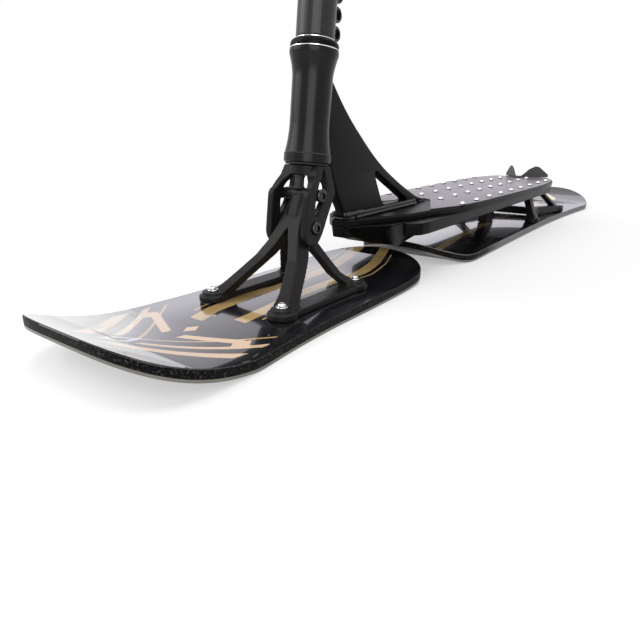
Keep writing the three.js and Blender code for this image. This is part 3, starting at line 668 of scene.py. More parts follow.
def skiShell(plan, section, laid=True):
    # the outline carried up a section of (inset, height), then strips laid across both faces
    outline = skiOutline(plan)
    count = len(outline)
    middle = (plan["nose"]["x"] + plan["tail"]["x"]) / 2
    fullLong, fullWide = plan["nose"]["x"] - middle, plan["waist"] / 2
    bpy.ops.mesh.primitive_circle_add(vertices=count, radius=1)
    piece = bpy.context.object
    for v, (x, y) in zip(piece.data.vertices, outline):
        v.co = (x, y, skiLift(plan, x))
    edit(piece)
    bpy.ops.mesh.select_mode(type="EDGE")
    long, wide, level = fullLong, fullWide, 0
    for i, (inset, height) in enumerate(section):
        if i:
            bpy.ops.mesh.extrude_edges_move(TRANSFORM_OT_translate={"value": (0, 0, height - level)})
        else:
            bpy.ops.transform.translate(value=(0, 0, height))
        nextLong, nextWide = fullLong - inset, fullWide - inset
        bpy.ops.transform.resize(value=(nextLong / long, nextWide / wide, 1), center_override=(middle, 0, 0))
        long, wide, level = nextLong, nextWide, height
    bpy.ops.object.mode_set(mode="OBJECT")
    if laid:
        for ring in (0, len(section) - 1):
            points = piece.data.vertices
            for face in piece.data.polygons:
                face.select = False
            for v in points:
                v.select = False
            for e in piece.data.edges:
                a, b = e.vertices
                e.select = a // count == b // count == ring and points[a].co.y * points[b].co.y > 0
            edit(piece, everything=False)
            bpy.ops.mesh.bridge_edge_loops()
            bpy.ops.object.mode_set(mode="OBJECT")
    return closeUp(settle(piece, levelMm))


def skiLayer(name, shell, finish, layer):
    # layer is (end of the piece's name, end of its node's name, slot)
    ending, nodeEnding, slot = layer
    body, node = skis[name]["body"], name + "_ski" + nodeEnding
    finishPiece(smooth(shell), name + "_ski_" + ending, finish, body, [node])


for name, plan in skis.items():
    thick, rim, low, sole = (skiBuild[key] for key in ("thick", "rim", "wallLow", "soleTop"))
    cut, inner, broken = (skiBuild[key] for key in ("rimCut", "edge", "edgeBroken"))
    footIn, footUp = skiBuild["wallFoot"]
    side = [(footIn, low), (0, low + footUp), (0, thick - rim), (cut * rim, thick - cut * rim), (rim, thick)]
    core = skiShell(plan, side)
    skiLayer(name, core, name + "Top", ("core", "", "ski_top"))
    core.data.materials.append(finishes[name + "Wall"])
    for face in core.data.polygons:
        face.material_index = 0 if face.normal.z > 0 and abs(face.center.y) < mm else 1
    lowGap, topGap = skiBuild["soleGap"]
    under = skiShell(plan, [(inner + lowGap, 0), (inner + topGap, sole)])
    skiLayer(name, under, "base", ("sole", "_base", "ski_base"))
    ring = [(inner, 0), (broken, 0), (0, broken), (0, sole), (inner, sole), (inner, 0)]
    loop = skiShell(plan, ring, laid=False)
    skiLayer(name, loop, "edge", ("edge_loop", "_edge", "ski_edge"))
print("skis laid up")


# Head tube and headset, turned about the steering axis
headLow, headHigh = axisBox("head_tube")
head = {
    "flange": headHigh.x,
    "waist": 20.6 * mm,
    "band": 9.5 * mm,
    "lowFlare": 32 * mm,
    "lowSteps": 14,
    "lowPower": 2.1,
    "topFlare": 22 * mm,
    "topSteps": 12,
    "topPower": 1.7,
    "lip": 4 * mm,
    "bore": 16.8 * mm,
    "cup": 21.2 * mm,
    "cupDeep": 7.6 * mm,
    "edge": 0.7 * mm,
    "seal": 23 * mm,
    "steererBore": 14.6 * mm,
    "sides": 96,
}


def headProfile():
    low, high = headLow.z, headHigh.z
    flange, waist, edge = head["flange"], head["waist"], head["edge"]
    flare = flange - waist
    bandTop = low + head["band"]
    start = high - head["lip"] - head["topFlare"]
    outside = [(flange - edge, low), (flange, low + edge), (flange, bandTop - edge), (flange - edge, bandTop)]
    for i in range(1, head["lowSteps"] + 1):
        t = i / head["lowSteps"]
        radius = flange - edge - (flare - edge) * (1 - (1 - t) ** head["lowPower"])
        outside.append((radius, bandTop + head["lowFlare"] * t))
    for i in range(head["topSteps"] + 1):
        t = i / head["topSteps"]
        outside.append((waist + flare * t ** head["topPower"], start + head["topFlare"] * t))
    outside += [(flange, high - edge), (flange - edge, high)]
    inside = [
        (head["cup"], high),
        (head["cup"], high - head["cupDeep"]),
        (head["bore"], high - head["cupDeep"]),
        (head["bore"], low + head["cupDeep"]),
        (head["cup"], low + head["cupDeep"]),
        (head["cup"], low),
        (flange - edge, low),
    ]
    return outside + inside


headShell = turnedAt(headProfile(), head["sides"], leaning)
finishPiece(headShell, "head_tube_shell", "head", carried, ["head_tube"])


def ringOutline(bore, wide, low, high, edge):
    # a plain ring with the edges of its outside broken
    return [
        (bore, low),
        (wide - edge, low),
        (wide, low + edge),
        (wide, high - edge),
        (wide - edge, high),
        (bore, high),
        (bore, low),
    ]


for node, edge, finish, body, bore, slot in (
    ("headset_trim_ring", 0.3 * mm, "chrome", carried, 18.9 * mm, "bright_ring"),
    ("headset_spacer", 0.3 * mm, "chrome", steered, head["steererBore"], "bright_ring"),
    ("crown_race", 0.4 * mm, "rubber", steered, head["steererBore"], "steel"),
):
    low, high = axisBox(node)
    wide = head["seal"] if node == "crown_race" else high.x
    ringPiece = turnedAt(ringOutline(bore, wide, low.z, high.z, edge), head["sides"], leaning)
    finishPiece(ringPiece, node + "_turned", finish, body, [node])

capLow, capHigh = axisBox("headset_cap")
cap = {"foot": capHigh.x, "top": 20.2 * mm, "rim": 2.2 * mm, "edge": 0.5 * mm, "steps": 8}


def capProfile():
    low, high, bore = capLow.z, capHigh.z, head["steererBore"]
    foot, top, edge, rim = cap["foot"], cap["top"], cap["edge"], cap["rim"]
    outline = [(bore, low), (foot - edge, low), (foot, low + edge), (foot, low + rim)]
    for i in range(1, cap["steps"] + 1):
        turn = math.pi / 2 * i / cap["steps"]
        outline.append((top + (foot - top) * math.cos(turn), low + rim + (high - low - rim) * math.sin(turn)))
    return outline + [(bore, high), (bore, low)]


capPiece = turnedAt(capProfile(), head["sides"], leaning)
finishPiece(capPiece, "headset_cap_turned", "coat", steered, ["headset_cap"])
print("head tube and headset turned")


# Fork: a crown with two windowed legs, each on two struts that arch in to it
fork = {
    "inner": 19.6,
    "thick": 7.6,
    "crown": (18.5, 133.7, 143.7),  # radius, low, high
    "sides": 64,
    "steerer": (11.5, 14.3, 144.0),  # inside, outside, low
    "steererEdge": 0.5,
    "leg": (
        *((-18.5, 120), (-6.5, 92), (-1, 77), (6, 65.5), (15, 62.3), (25, 63.5)),
        *((30, 71.9), (29.2, 115), (24.5, 120)),
    ),
    "window": ((2.5, 108.4), (15.5, 108.4), (15, 93.3), (12, 92.7)),
    "frontStrut": (
        (19.3, 23.4, 118, 10.4, 7.6),
        (14.5, 21.4, 126, 10, 8.8),
        (9, 17.6, 133, 10, 13),
        (5, 15.2, 143.6, 11, 14),
    ),
    "rearStrut": (
        (-10.4, 23.4, 118, 13, 7.6),
        (-9.5, 21.4, 126, 12, 8.8),
        (-8, 17.6, 133, 11.5, 13),
        (-6, 15.2, 143.6, 12, 14),
    ),
    "corner": 5,
    "windowCorner": 2.2,
    "edge": 1.3,
    "bolts": ((8, 114), (13, 81)),
    "voxel": 0.75 * mm,
    "rounds": 4,
}
blocks = [pin(*fork["crown"], leaningMm, fork["sides"])]
for sign in (1, -1):
    middle = sign * (fork["inner"] + fork["thick"] / 2)
    lie = leaningMm @ Matrix.Translation((0, middle, 0)) @ standing
    plan = [roundedOutline(fork["leg"], fork["corner"]), roundedOutline(fork["window"], fork["windowCorner"])]
    blocks.append(slab(plan, fork["thick"], fork["edge"], lie))
    for strut in (fork["frontStrut"], fork["rearStrut"]):
        blocks.append(limb(mirrored(strut, sign), leaningMm))
cast(joined(blocks), fork, "fork_legs", "cast", steered, "fork")
inside, outside, low = fork["steerer"]
top = axisBox("fork")[1].z / mm
edge = fork["steererEdge"]
profile = [(inside, low), (outside, low), (outside, top - edge), (outside - edge, top), (inside, top)]
steererPiece = turnedAt(profile + [(inside, low)], fork["sides"], leaningMm)
finishPiece(steererPiece, "fork_steerer", "cast", steered)

# Front truck: a web between the fork's legs, a blade that parts into two front legs, and two rear legs
truck = {
    "web": ((-8.8, 63), (12, 62), (22, 72.3), (20.8, 92.8), (12.8, 118.8), (-7.2, 118.8), (-11.2, 104.8)),
    "webHalf": 6.5,
    "webCorner": 4,
    "webEdge": 1.2,
    "bossRadius": 6.8,
    "bossReach": 19.2,
    "frontLeg": (
        (-9, 3, 118, 10, 9),
        (0, 5.6, 97, 13, 14),
        (9, 8.2, 81, 16, 15.5),
        (16, 14.2, 67, 19, 14),
        (26, 21.5, 53.5, 20, 14),
        (41, 29.5, 41, 20, 14),
        (58, 37.5, 28, 20, 14.5),
        (73, 43.5, 18, 23, 17),
    ),
    "rearLeg": (
        (1, 9, 74, 16, 14),
        (-3, 16, 63, 14, 12),
        (-11, 25, 48, 12, 11),
        (-21, 33, 31, 13, 11),
        (-36, 43.5, 17, 18, 14),
    ),
    "feet": ((82, 47), (-41, 47)),
    "foot": (14.4, 11.3, 17.6),  # radius, low, high
    "step": (11.2, 17, 21.3),
    "footSides": 40,
    "rail": (22, 11.3, 17.4),  # width, low, high
    "voxel": 0.9 * mm,
    "rounds": 6,
}
web = roundedOutline(truck["web"], truck["webCorner"])
blocks = [slab([web], 2 * truck["webHalf"], truck["webEdge"], leaningMm @ standing)]
for f, s in fork["bolts"]:
    line = leaningMm @ Matrix.Translation((f, 0, s)) @ acrossY
    blocks.append(pin(truck["bossRadius"], -truck["bossReach"], truck["bossReach"], line))
railWide, railLow, railHigh = truck["rail"]
(frontX, side), (rearX, side) = truck["feet"]
for sign in (1, -1):
    for leg in (truck["frontLeg"], truck["rearLeg"]):
        blocks.append(limb(mirrored(leg, sign), levelMm))
    corners = []
    for x in (rearX, frontX):
        for y in (sign * side - railWide / 2, sign * side + railWide / 2):
            corners += [(x, y, railLow), (x, y, railHigh)]
    blocks.append(wedge(corners, levelMm))
    for x in (frontX, rearX):
        spot = levelMm @ Matrix.Translation((x, sign * side, 0))
        blocks += [pin(*truck[block], spot, truck["footSides"]) for block in ("foot", "step")]
cast(joined(blocks), truck, "front_truck_casting", "cast", steered, "front_truck")

clamp = {"voxel": 0.9 * mm, "rounds": 4}
cast(copyOf("bar_clamp"), clamp, "bar_clamp_cast", "satin", steered, "bar_clamp")

padLow, padHigh = axisBox("fork_bumper")
padMiddle = (padLow + padHigh) / 2
padRadius = (padHigh.x - padLow.x) / 2
pad = {"lip": 0.9 * mm, "lipHigh": 2.4 * mm, "edge": 0.4 * mm, "sides": 48}
padProfile = [
    (padRadius - pad["edge"], padLow.z),
    (padRadius, padLow.z + pad["edge"]),
    (padRadius, padLow.z + pad["lipHigh"]),
    (padRadius - pad["lip"], padLow.z + pad["lipHigh"] + pad["edge"]),
    (padRadius - pad["lip"], padHigh.z - pad["lipHigh"]),
    (padRadius, padHigh.z - pad["lipHigh"] + pad["edge"]),
    (padRadius, padHigh.z - pad["edge"]),
    (padRadius - pad["edge"], padHigh.z),
]
padLie = leaning @ Matrix.Translation((padMiddle.x, padMiddle.y, 0))
bumper = turnedAt(padProfile, pad["sides"], padLie, capped=True)
finishPiece(bumper, "fork_bumper_drum", "rubber", steered, ["fork_bumper"])


# Screws: a domed head with a hexagon socket, from the box of the node it stands for
screwShape = {
    "sides": 48,
    "crown": ((0.93, 0), (1, 0.06), (1, 0.36), (0.93, 0.62), (0.78, 0.86), (0.62, 1)),  # shares out and up
    "socketShare": 0.46,
    "socket": ((1.22, 0), (1.1, 0.08), (1.1, 0.62)),  # shares of the socket, and of the head's height down
    "mouth": 1.15,
    "stemSides": 24,
    "stemTip": (0.8, 0.4 * mm),  # share of the radius at the tip, and how far up it is full
    "intoHead": 1 * mm,
}


def screwHead(radius, low, high):
    # turned head with its hexagon pressed in from above
    tall = high - low
    flat = screwShape["socketShare"] * radius
    profile = [(radius * wide, low + tall * up) for wide, up in screwShape["crown"]]
    profile += [(flat * wide, high - tall * down) for wide, down in screwShape["socket"]]
    piece = turned(profile, screwShape["sides"], capped=True)
    for v in piece.data.vertices:
        across = math.hypot(v.co.x, v.co.y)
        if across < flat * screwShape["mouth"]:
            turn = math.atan2(v.co.y, v.co.x) % (math.pi / 3) - math.pi / 6
            reach = flat / math.cos(turn) / across
            v.co.x *= reach
            v.co.y *= reach
    return piece


def screwPiece(node, headSize, shank, place, finish, body):
    # headSize is (radius, low, high) and shank (radius, low), both along the screw's own line
    top = screwHead(*headSize)
    radius, low = shank
    high = headSize[1] + screwShape["intoHead"]
    tipShare, tipLong = screwShape["stemTip"]
    profile = [(radius * tipShare, low), (radius, low + tipLong), (radius, high)]
    stem = turned(profile, screwShape["stemSides"], capped=True)
    whole = smooth(settle(joined([top, stem]), place))
    finishPiece(whole, node + "_screw", finish, body, [node])


def crossScrew(node, headTall, shank, finish):
    # a screw that runs across the fork or the clamp, with its head on the left
    low, high = axisBox(node)
    middle = (low + high) / 2
    line = leaning @ Matrix.Translation((middle.x, 0, middle.z)) @ acrossY
    headSize = ((high.x - low.x) / 2, high.y - headTall, high.y)
    screwPiece(node, headSize, (shank, low.y), line, finish, steered)
    return line


skiScrew = {
    "shank": 2.9 * mm,
    "headHigh": 4 * mm,
    "headTall": 2.6 * mm,
    "shrink": 0.72,
    "washerEdge": 0.35 * mm,
    "washerPlay": 0.3 * mm,
    "washerSides": 48,
}
for ski, body in (("front", steered), ("rear", carried)):
    for corner in ("front_left", "front_right", "rear_left", "rear_right"):
        node = ski + "_ski_bolt_" + corner
        low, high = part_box(node)
        middle = (low + high) / 2
        radius = (high.x - low.x) / 2
        seat = high.z - skiScrew["headHigh"]
        place = Matrix.Translation((middle.x, middle.y, 0)) @ Matrix.Rotation(dice.uniform(0, 1), 4, "Z")
        headSize = (radius * skiScrew["shrink"], seat, seat + skiScrew["headTall"])
        screwPiece(node, headSize, (skiScrew["shank"], low.z), place, "steel", body)
        if ski == "front":
            washer = "front_ski_bolt_washer_" + corner
            low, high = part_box(washer)
            wide = (high.x - low.x) / 2 * skiScrew["shrink"]
            bore = skiScrew["shank"] + skiScrew["washerPlay"]
            outline = ringOutline(bore, wide, low.z, high.z, skiScrew["washerEdge"])
            spot = Matrix.Translation((middle.x, middle.y, 0))
            disc = turnedAt(outline, skiScrew["washerSides"], spot)
            finishPiece(disc, washer + "_disc", "steel", steered, [washer])

crossBolt = {"headTall": 3 * mm, "shank": 3.9 * mm}
hexNut = {
    "sides": 6,
    "bore": 4.2 * mm,
    "footEdge": 0.5 * mm,
    "footShare": 0.9,
    "topEdge": 0.4 * mm,
    "topShare": 0.96,
}
for which in ("upper", "lower"):
    line = crossScrew("fork_bolt_" + which, crossBolt["headTall"], crossBolt["shank"], "dark")
    node = "fork_nut_" + which
    low, high = axisBox(node)
    radius = (high.z - low.z) / 2
    profile = [
        (radius * hexNut["footShare"], low.y),
        (radius, low.y + hexNut["footEdge"]),
        (radius, high.y - hexNut["topEdge"]),
        (radius * hexNut["topShare"], high.y),
        (hexNut["bore"], high.y),
        (hexNut["bore"], low.y),
        (radius * hexNut["footShare"], low.y),
    ]
    finishPiece(turnedAt(profile, hexNut["sides"], line), node + "_hex", "dark", steered, [node])
print("screws, washers and nuts turned")


# Deck: a black plate with a grey studded sheet, black rails and a tail stop
plateLow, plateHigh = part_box("deck_plate")
deck = {
    "top": 80,
    "side": (
        *((-76, 9), (-112, 24), (-137, 36), (-165, 49), (-210, 56), (-263, 71.5)),
        *((-318, 78.5), (-480, 84), (-590, 86)),
    ),
    "rear": -764.6,
    "rearHalf": 86,
    "cornerLong": 176,
    "cornerWide": 37,
    "cornerSteps": 12,
    "chamfer": 2.2,
    "sheetInset": 2.6,
    "sheetThick": 1.2,
    "sheetEdge": 0.3,
    "sheetFront": ((-300, 9), (-212, 52)),
    "sheetJoin": 3,
    "rail": (
        *((-140, 55), (-154, 69.5), (-172, 72), (-722, 72), (-736, 66), (-736, 61.5)),
        *((-345, 61.5), (-333, 52.8), (-158, 52.8), (-142, 49)),
    ),
    "railGap": 0.3,
    "railDeep": 15,
    "railCorner": 5,
    "railEdge": 1.8,
    "smoothTo": 20,
}


def deckOutline(inset, behindFoot=False):
    # the left edge from the front to the tail, then its mirror image; the sheet starts behind the tube's foot
    left = [(x - (inset if i == 0 else 0), half - inset) for i, (x, half) in enumerate(deck["side"])]
    for i in range(1, deck["cornerSteps"] + 1):
        turn = math.pi / 2 * i / deck["cornerSteps"]
        x = deck["rear"] + inset + deck["cornerLong"] * (1 - math.sin(turn))
        left.append((x, deck["rearHalf"] - inset - deck["cornerWide"] * (1 - math.cos(turn))))
    if behindFoot:
        front = list(deck["sheetFront"])
        left = front + [(x, y) for x, y in left if x < front[-1][0] - deck["sheetJoin"]]
    return left + [(x, -y) for x, y in reversed(left)]


outline = deckOutline(0)
bpy.ops.mesh.primitive_circle_add(vertices=len(outline), radius=1, fill_type="NGON")
plate = bpy.context.object
for v, (x, y) in zip(plate.data.vertices, outline):
    v.co = (x, y, plateLow.z / mm)
edit(plate)
plateSide = (plateHigh - plateLow).z / mm - deck["chamfer"]
bpy.ops.mesh.extrude_region_move(TRANSFORM_OT_translate={"value": (0, 0, plateSide)})
bpy.ops.mesh.inset(thickness=deck["chamfer"], depth=deck["chamfer"])
bpy.ops.object.mode_set(mode="OBJECT")
closeUp(settle(plate, levelMm))
finishPiece(smooth(plate, deck["smoothTo"]), "deck_plate_body", "coat", carried, ["deck_plate"])

sheetLie = levelMm @ Matrix.Translation((0, 0, deck["top"] - deck["sheetThick"] / 2))
outline = deckOutline(deck["sheetInset"], behindFoot=True)
sheet = slab([outline], deck["sheetThick"], deck["sheetEdge"], sheetLie, 1)
finishPiece(smooth(sheet), "deck_sheet", "deck", carried, ["grip_sheet"])

for side, sign in (("left", 1), ("right", -1)):
    outline = roundedOutline([(x, sign * y) for x, y in deck["rail"]], deck["railCorner"])
    middle = plateLow.z / mm - deck["railGap"] - deck["railDeep"] / 2
    rail = slab([outline], deck["railDeep"], deck["railEdge"], levelMm @ Matrix.Translation((0, 0, middle)))
    node = side + "_deck_rail"
    finishPiece(smooth(rail), node + "_edged", "coat", carried, [node])

wings = {
    "left": ((-735, 6), (-770, 50)),
    "right": ((-735, -6), (-772, -37)),
    "heights": ((0, 4), (0.12, 9), (0.28, 17), (0.5, 22.5), (0.64, 21), (1, 5.5)),
    "thick": 3,
    "foot": 80.3,
    "band": (-742, -728, 9, 3.2),  # rear, front, half width, height
    "voxel": 0.6 * mm,
    "rounds": 3,
}


def wingBlocks(ends):
    # a thin upright fin over a line on the deck, as high as its table says
    (x0, y0), (x1, y1) = ends
    along = Vector((x1 - x0, y1 - y0)).normalized() * wings["thick"] / 2
    pieces = []
    for (a, low), (b, high) in zip(wings["heights"], wings["heights"][1:]):
        corners = []
        for share, tall in ((a, low), (b, high)):
            x, y = x0 + (x1 - x0) * share, y0 + (y1 - y0) * share
            for sign in (-1, 1):
                for up in (0, tall):
                    corners.append((x - sign * along.y, y + sign * along.x, wings["foot"] + up))
        pieces.append(wedge(corners, levelMm))
    return pieces


rearX, frontX, half, tall = wings["band"]
corners = [(x, y, wings["foot"] + z) for x in (rearX, frontX) for y in (-half, half) for z in (0, tall)]
blocks = wingBlocks(wings["left"]) + wingBlocks(wings["right"]) + [wedge(corners, levelMm)]
cast(joined(blocks), wings, "tail_stop_fins", "fin", carried, "tail_stop")

stud = {
    "profile": (  # radius and height above the sheet, from the rim up and in to the dish
        *((4.6, -0.05), (4.1, 0.3), (3.5, 1.4), (3.2, 2.7), (3.0, 3.3)),
        *((2.6, 3.55), (1.9, 3.45), (1.6, 2.9), (1.5, 0.6)),
    ),
    "sides": 16,
    "smoothTo": 50,
    "brightAbove": 1.2 * mm,
    "brightOutside": 1.7 * mm,
    "first": -275,
    "pitch": 50.9,
    "rowPitch": 46.5,
    "perRow": 9,
    "rowShares": (0, 0.6, 0.2, -0.2),
    "keepOff": 9,
}


def nearFin(x, y):
    for ends in (wings["left"], wings["right"]):
        a, b = Vector(ends[0]), Vector(ends[1])
        share = min(max((Vector((x, y)) - a).dot(b - a) / (b - a).length_squared, 0), 1)
        if (a.lerp(b, share) - Vector((x, y))).length < stud["keepOff"]:
            return True
    return False


model = turned([(r * mm, h * mm) for r, h in stud["profile"]], stud["sides"], capped=True)
model.data.materials.append(finishes["tip"])
model.data.materials.append(finishes["dark"])
for face in model.data.polygons:
    across = math.hypot(face.center.x, face.center.y)
    bright = face.center.z > stud["brightAbove"] and across > stud["brightOutside"]
    face.material_index = 0 if bright else 1
smooth(model, stud["smoothTo"])
studs = []
for row, rowShare in enumerate(stud["rowShares"]):
    y = (1.5 - row) * stud["rowPitch"]
    for i in range(stud["perRow"]):
        x = stud["first"] - (i + rowShare) * stud["pitch"]
        if nearFin(x, y):
            continue
        twin = model.copy()
        twin.data = model.data.copy()
        bpy.context.collection.objects.link(twin)
        twin.matrix_world = levelMm @ Matrix.Translation((x, y, deck["top"])) @ Matrix.Scale(1 / mm, 4)
        studs.append(settle(twin))
bpy.data.objects.remove(model)
studSet = joined(studs)
studSet.name = studSet.data.name = "deck_studs"
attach(studSet, carried)
print("deck made with", len(studs), "studs")


# Keel, rib and down tube
keel = {
    "stations": (
        (-77, 9, 8, 70.2, 57),
        (-92, 22, 13, 70.2, 56),
        (-124, 47, 20, 70.2, 45),
        (-188, 52, 20, 70.2, 31),
        (-236, 52, 20, 70.2, 37),
        (-330, 52, 46, 70.2, 54),
        (-430, 52, 51, 70.2, 66),
    ),
    "voxel": 1.1 * mm,
    "rounds": 2,
}
cast(joined(keeled(keel["stations"], levelMm)), keel, "front_keel_block", "coat", carried, "front_keel")
rib = {
    "stations": (
        (-76, 7, 10.5, 80.5, 78.8),
        (-93, 9.5, 14, 82.6, 78.8),
        (-240, 9.5, 14, 82.6, 78.8),
        (-258, 8.5, 9.5, 81.2, 78.8),
    ),
    "voxel": 0.8 * mm,
    "rounds": 3,
}
cast(joined(keeled(rib["stations"], levelMm)), rib, "weld_rib_block", "weld", carried, "weld_rib")

downTube = {
    "half": 7,
    "edge": 2.6,
    "rounding": 5,
    "rear": (
        *((-299, 80.7), (-266, 86.6), (-236, 98.3), (-196, 116.7), (-153.3, 140.4)),
        *((-113.2, 169.5), (-81.3, 196.7), (-59.3, 220), (-50.4, 231)),
    ),
    "front": (
        *((-45.6, 152), (-52, 137), (-59.5, 119), (-67.5, 104)),
        *((-77, 89.8), (-78, 82.8), (-254, 82.8), (-262, 80.7)),
    ),
    "rearBends": range(1, 8),
    "frontBends": range(1, 4),
    "window": ((-142, 131), (-167, 86.4), (-234, 84.6)),
    "windowCorner": 10,
}
outside = []
for edge in ("rear", "front"):
    for i, (x, z) in enumerate(downTube[edge]):
        outside.append((x, z, "smooth") if i in downTube[edge + "Bends"] else (x, z))
opening = roundedOutline(downTube["window"], downTube["windowCorner"])
tubeLie = levelMm @ standing
tube = slab([outside, opening], 2 * downTube["half"], downTube["edge"], tubeLie, downTube["rounding"])
finishPiece(smooth(tube), "down_tube_plate", "tube", carried, ["down_tube"])
print("down tube made")


# Weld beads: overlapping drops laid along a seam
welds = {
    "drift": (0.92, 1.08),
    "squash": (0.62, 1.0, 0.8),
    "drop": {"segments": 12, "ring_count": 7},
    "seams": (  # name, ends as (x, out from the middle), height, width and pitch of the drops
        ("toe_weld_", ((-80, 8.5), (-112, 9.5)), 84.0, 8.5, 5.2),
        ("rib_weld_", ((-112, 8.2), (-250, 8.2)), 82.8, 6.6, 3.6),
        ("deck_weld_", ((-94, 14.4), (-240, 14.4)), 80.6, 5.2, 3.2),
    ),
    "roundSeam": (4.0 * mm, 1.8 * mm),  # the same for the seams on round tubes
    "headSteps": 11,
    "headEnds": (12 * mm, 34 * mm),  # where it starts above the foot, and by how much it is shorter
    "headOut": (0.0028, 0.0016),  # out from the waist at the ends, and between them
    "headMiddle": (0.2, 0.9),
    "headSpread": 1.05,
}


def weldBead(path, wide, pitch, name, body):
    lengths = [0.0]
    for a, b in zip(path, path[1:]):
        lengths.append(lengths[-1] + (b - a).length)
    count = int(lengths[-1] / pitch)
    drops = []
    for i in range(count + 1):
        along = min(i * pitch, lengths[-1] - 1e-6)
        k = next(j for j in range(1, len(path)) if lengths[j] >= along)
        share = (along - lengths[k - 1]) / max(lengths[k] - lengths[k - 1], 1e-9)
        spot = path[k - 1].lerp(path[k], share)
        direction = (path[k] - path[k - 1]).normalized()
        size = wide * dice.uniform(*welds["drift"])
        bpy.ops.mesh.primitive_uv_sphere_add(radius=size / 2, location=spot, **welds["drop"])
        drop = bpy.context.object
        drop.rotation_mode = "QUATERNION"
        drop.rotation_quaternion = direction.to_track_quat("X", "Z")
        drop.scale = welds["squash"]
        drops.append(drop)
    bead = settle(joined(drops))
    bpy.ops.object.shade_smooth()
    finishPiece(bead, name, "weld", body)


for side, sign in (("left", 1), ("right", -1)):
    for name, ends, height, wide, pitch in welds["seams"]:
        path = [levelMm @ Vector((x, sign * y, height)) for x, y in ends]
        weldBead(path, wide * mm, pitch * mm, name + side, carried)
    out = downTube["half"] * mm * sign * welds["headSpread"]
    start, shorter = welds["headEnds"]
    first, last = welds["headMiddle"]
    seam = []
    for i in range(welds["headSteps"] + 1):
        share = i / welds["headSteps"]
        s = headLow.z + start + (headHigh.z - headLow.z - shorter) * share
        waist = head["waist"] + welds["headOut"][first < share < last]
        back = math.sqrt(max(waist**2 - out**2, 0))
        seam.append(leaning @ Vector((-back, out, s)))
    weldBead(seam, *welds["roundSeam"], "head_weld_" + side, carried)
print("welds laid")


# Rear truck: a plate under the deck, a post, and arms that part to four feet
rearTruck = {
    "plate": ((-606, 58), (-606, -58), (-726, -58), (-726, 58)),
    "plateHeights": (63.3, 70.2),
    "plateCorner": 12,
    "plateEdge": 1.2,
    "post": ((-548, 8, 8, 70.2, 11.4), (-568, 8, 8, 70.2, 11.4), (-588, 8, 8, 70.2, 11.4)),
    "boom": ((-560, 9, 9, 70.2, 58), (-612, 13, 12, 70.2, 60)),
    "bar": ((-683, 57, 57, 27, 13), (-697, 57, 57, 27, 13)),
    "frontLeg": (
        (-640, 47, 64, 30, 16),
        (-630, 57, 48, 20, 12),
        (-618, 67, 31, 18, 12),
        (-606, 75, 16, 22, 19),
    ),
    "rearLeg": (
        (-722, 46, 65, 26, 14),
        (-732, 54, 50, 16, 11),
        (-752, 65, 33, 16, 12),
        (-776, 74, 16, 24, 18),
    ),
    "arms": (((-690, 55), (-606, 75)), ((-690, 55), (-786, 80))),
    "armHalf": 6.5,
    "armHeights": (12.5, 28.5),
    "armDrop": 5,
    "feet": ((-606, 75), (-778, 75)),
    "foot": (13, 11.4, 19.3),
    "footSides": 40,
    "voxel": 1.1 * mm,
    "rounds": 4,
}
low, high = rearTruck["plateHeights"]
plateLie = levelMm @ Matrix.Translation((0, 0, (low + high) / 2))
outline = roundedOutline(rearTruck["plate"], rearTruck["plateCorner"])
blocks = [slab([outline], high - low, rearTruck["plateEdge"], plateLie)]
for block in ("post", "boom", "bar"):
    blocks += keeled(rearTruck[block], levelMm)
armLow, armHigh = rearTruck["armHeights"]
for sign in (1, -1):
    for leg in (rearTruck["frontLeg"], rearTruck["rearLeg"]):
        blocks.append(limb(mirrored(leg, sign), levelMm))
    for (x0, y0), (x1, y1) in rearTruck["arms"]:
        along = Vector((x1 - x0, y1 - y0)).normalized() * rearTruck["armHalf"]
        corners = []
        for x, y, top in ((x0, y0, armHigh), (x1, y1, armHigh - rearTruck["armDrop"])):
            for turn in (-1, 1):
                for z in (armLow, top):
                    corners.append((x - turn * along.y, sign * (y + turn * along.x), z))
        blocks.append(wedge(corners, levelMm))
    for x, y in rearTruck["feet"]:
        spot = levelMm @ Matrix.Translation((x, sign * y, 0))
        blocks.append(pin(*rearTruck["foot"], spot, rearTruck["footSides"]))
cast(joined(blocks), rearTruck, "rear_truck_casting", "cast", carried, "rear_truck")


# Handlebar, grips, ends and clamp bolts
barLow, barHigh = axisBox("handlebar")
bar = {"outer": 15.9 * mm, "inner": 13.4 * mm, "edge": 0.5 * mm, "sides": 72}
bar["saddle"] = (48, 1.02)  # drops round the seam, and how far out they lie
inner, outer, edge, foot, half = bar["inner"], bar["outer"], bar["edge"], barLow.z, barHigh.y
crossZ = barHigh.z - outer
profile = [(inner, foot), (outer - edge, foot), (outer, foot + edge), (outer, crossZ), (inner, crossZ)]
post = turned(profile + [(inner, foot)], bar["sides"])
profile = [(inner, -half), (outer, -half), (outer, half), (inner, half), (inner, -half)]
crossTube = turned(profile, bar["sides"])
crossLie = Matrix.Translation((0, 0, crossZ)) @ acrossY
settle(crossTube, crossLie)
handlebar = settle(joined([post, crossTube]), leaning)
finishPiece(smooth(handlebar), "handlebar_tubes", "coat", steered, ["handlebar"])
saddle = []
steps, spread = bar["saddle"]
for i in range(steps + 1):
    turn = 2 * math.pi * i / steps
    x, y = outer * math.cos(turn), outer * math.sin(turn)
    drop = math.sqrt(max(outer**2 - x * x, 0))
    saddle.append(leaning @ Vector((x * spread, y * spread, crossZ - drop)))
weldBead(saddle, *welds["roundSeam"], "handlebar_weld", steered)

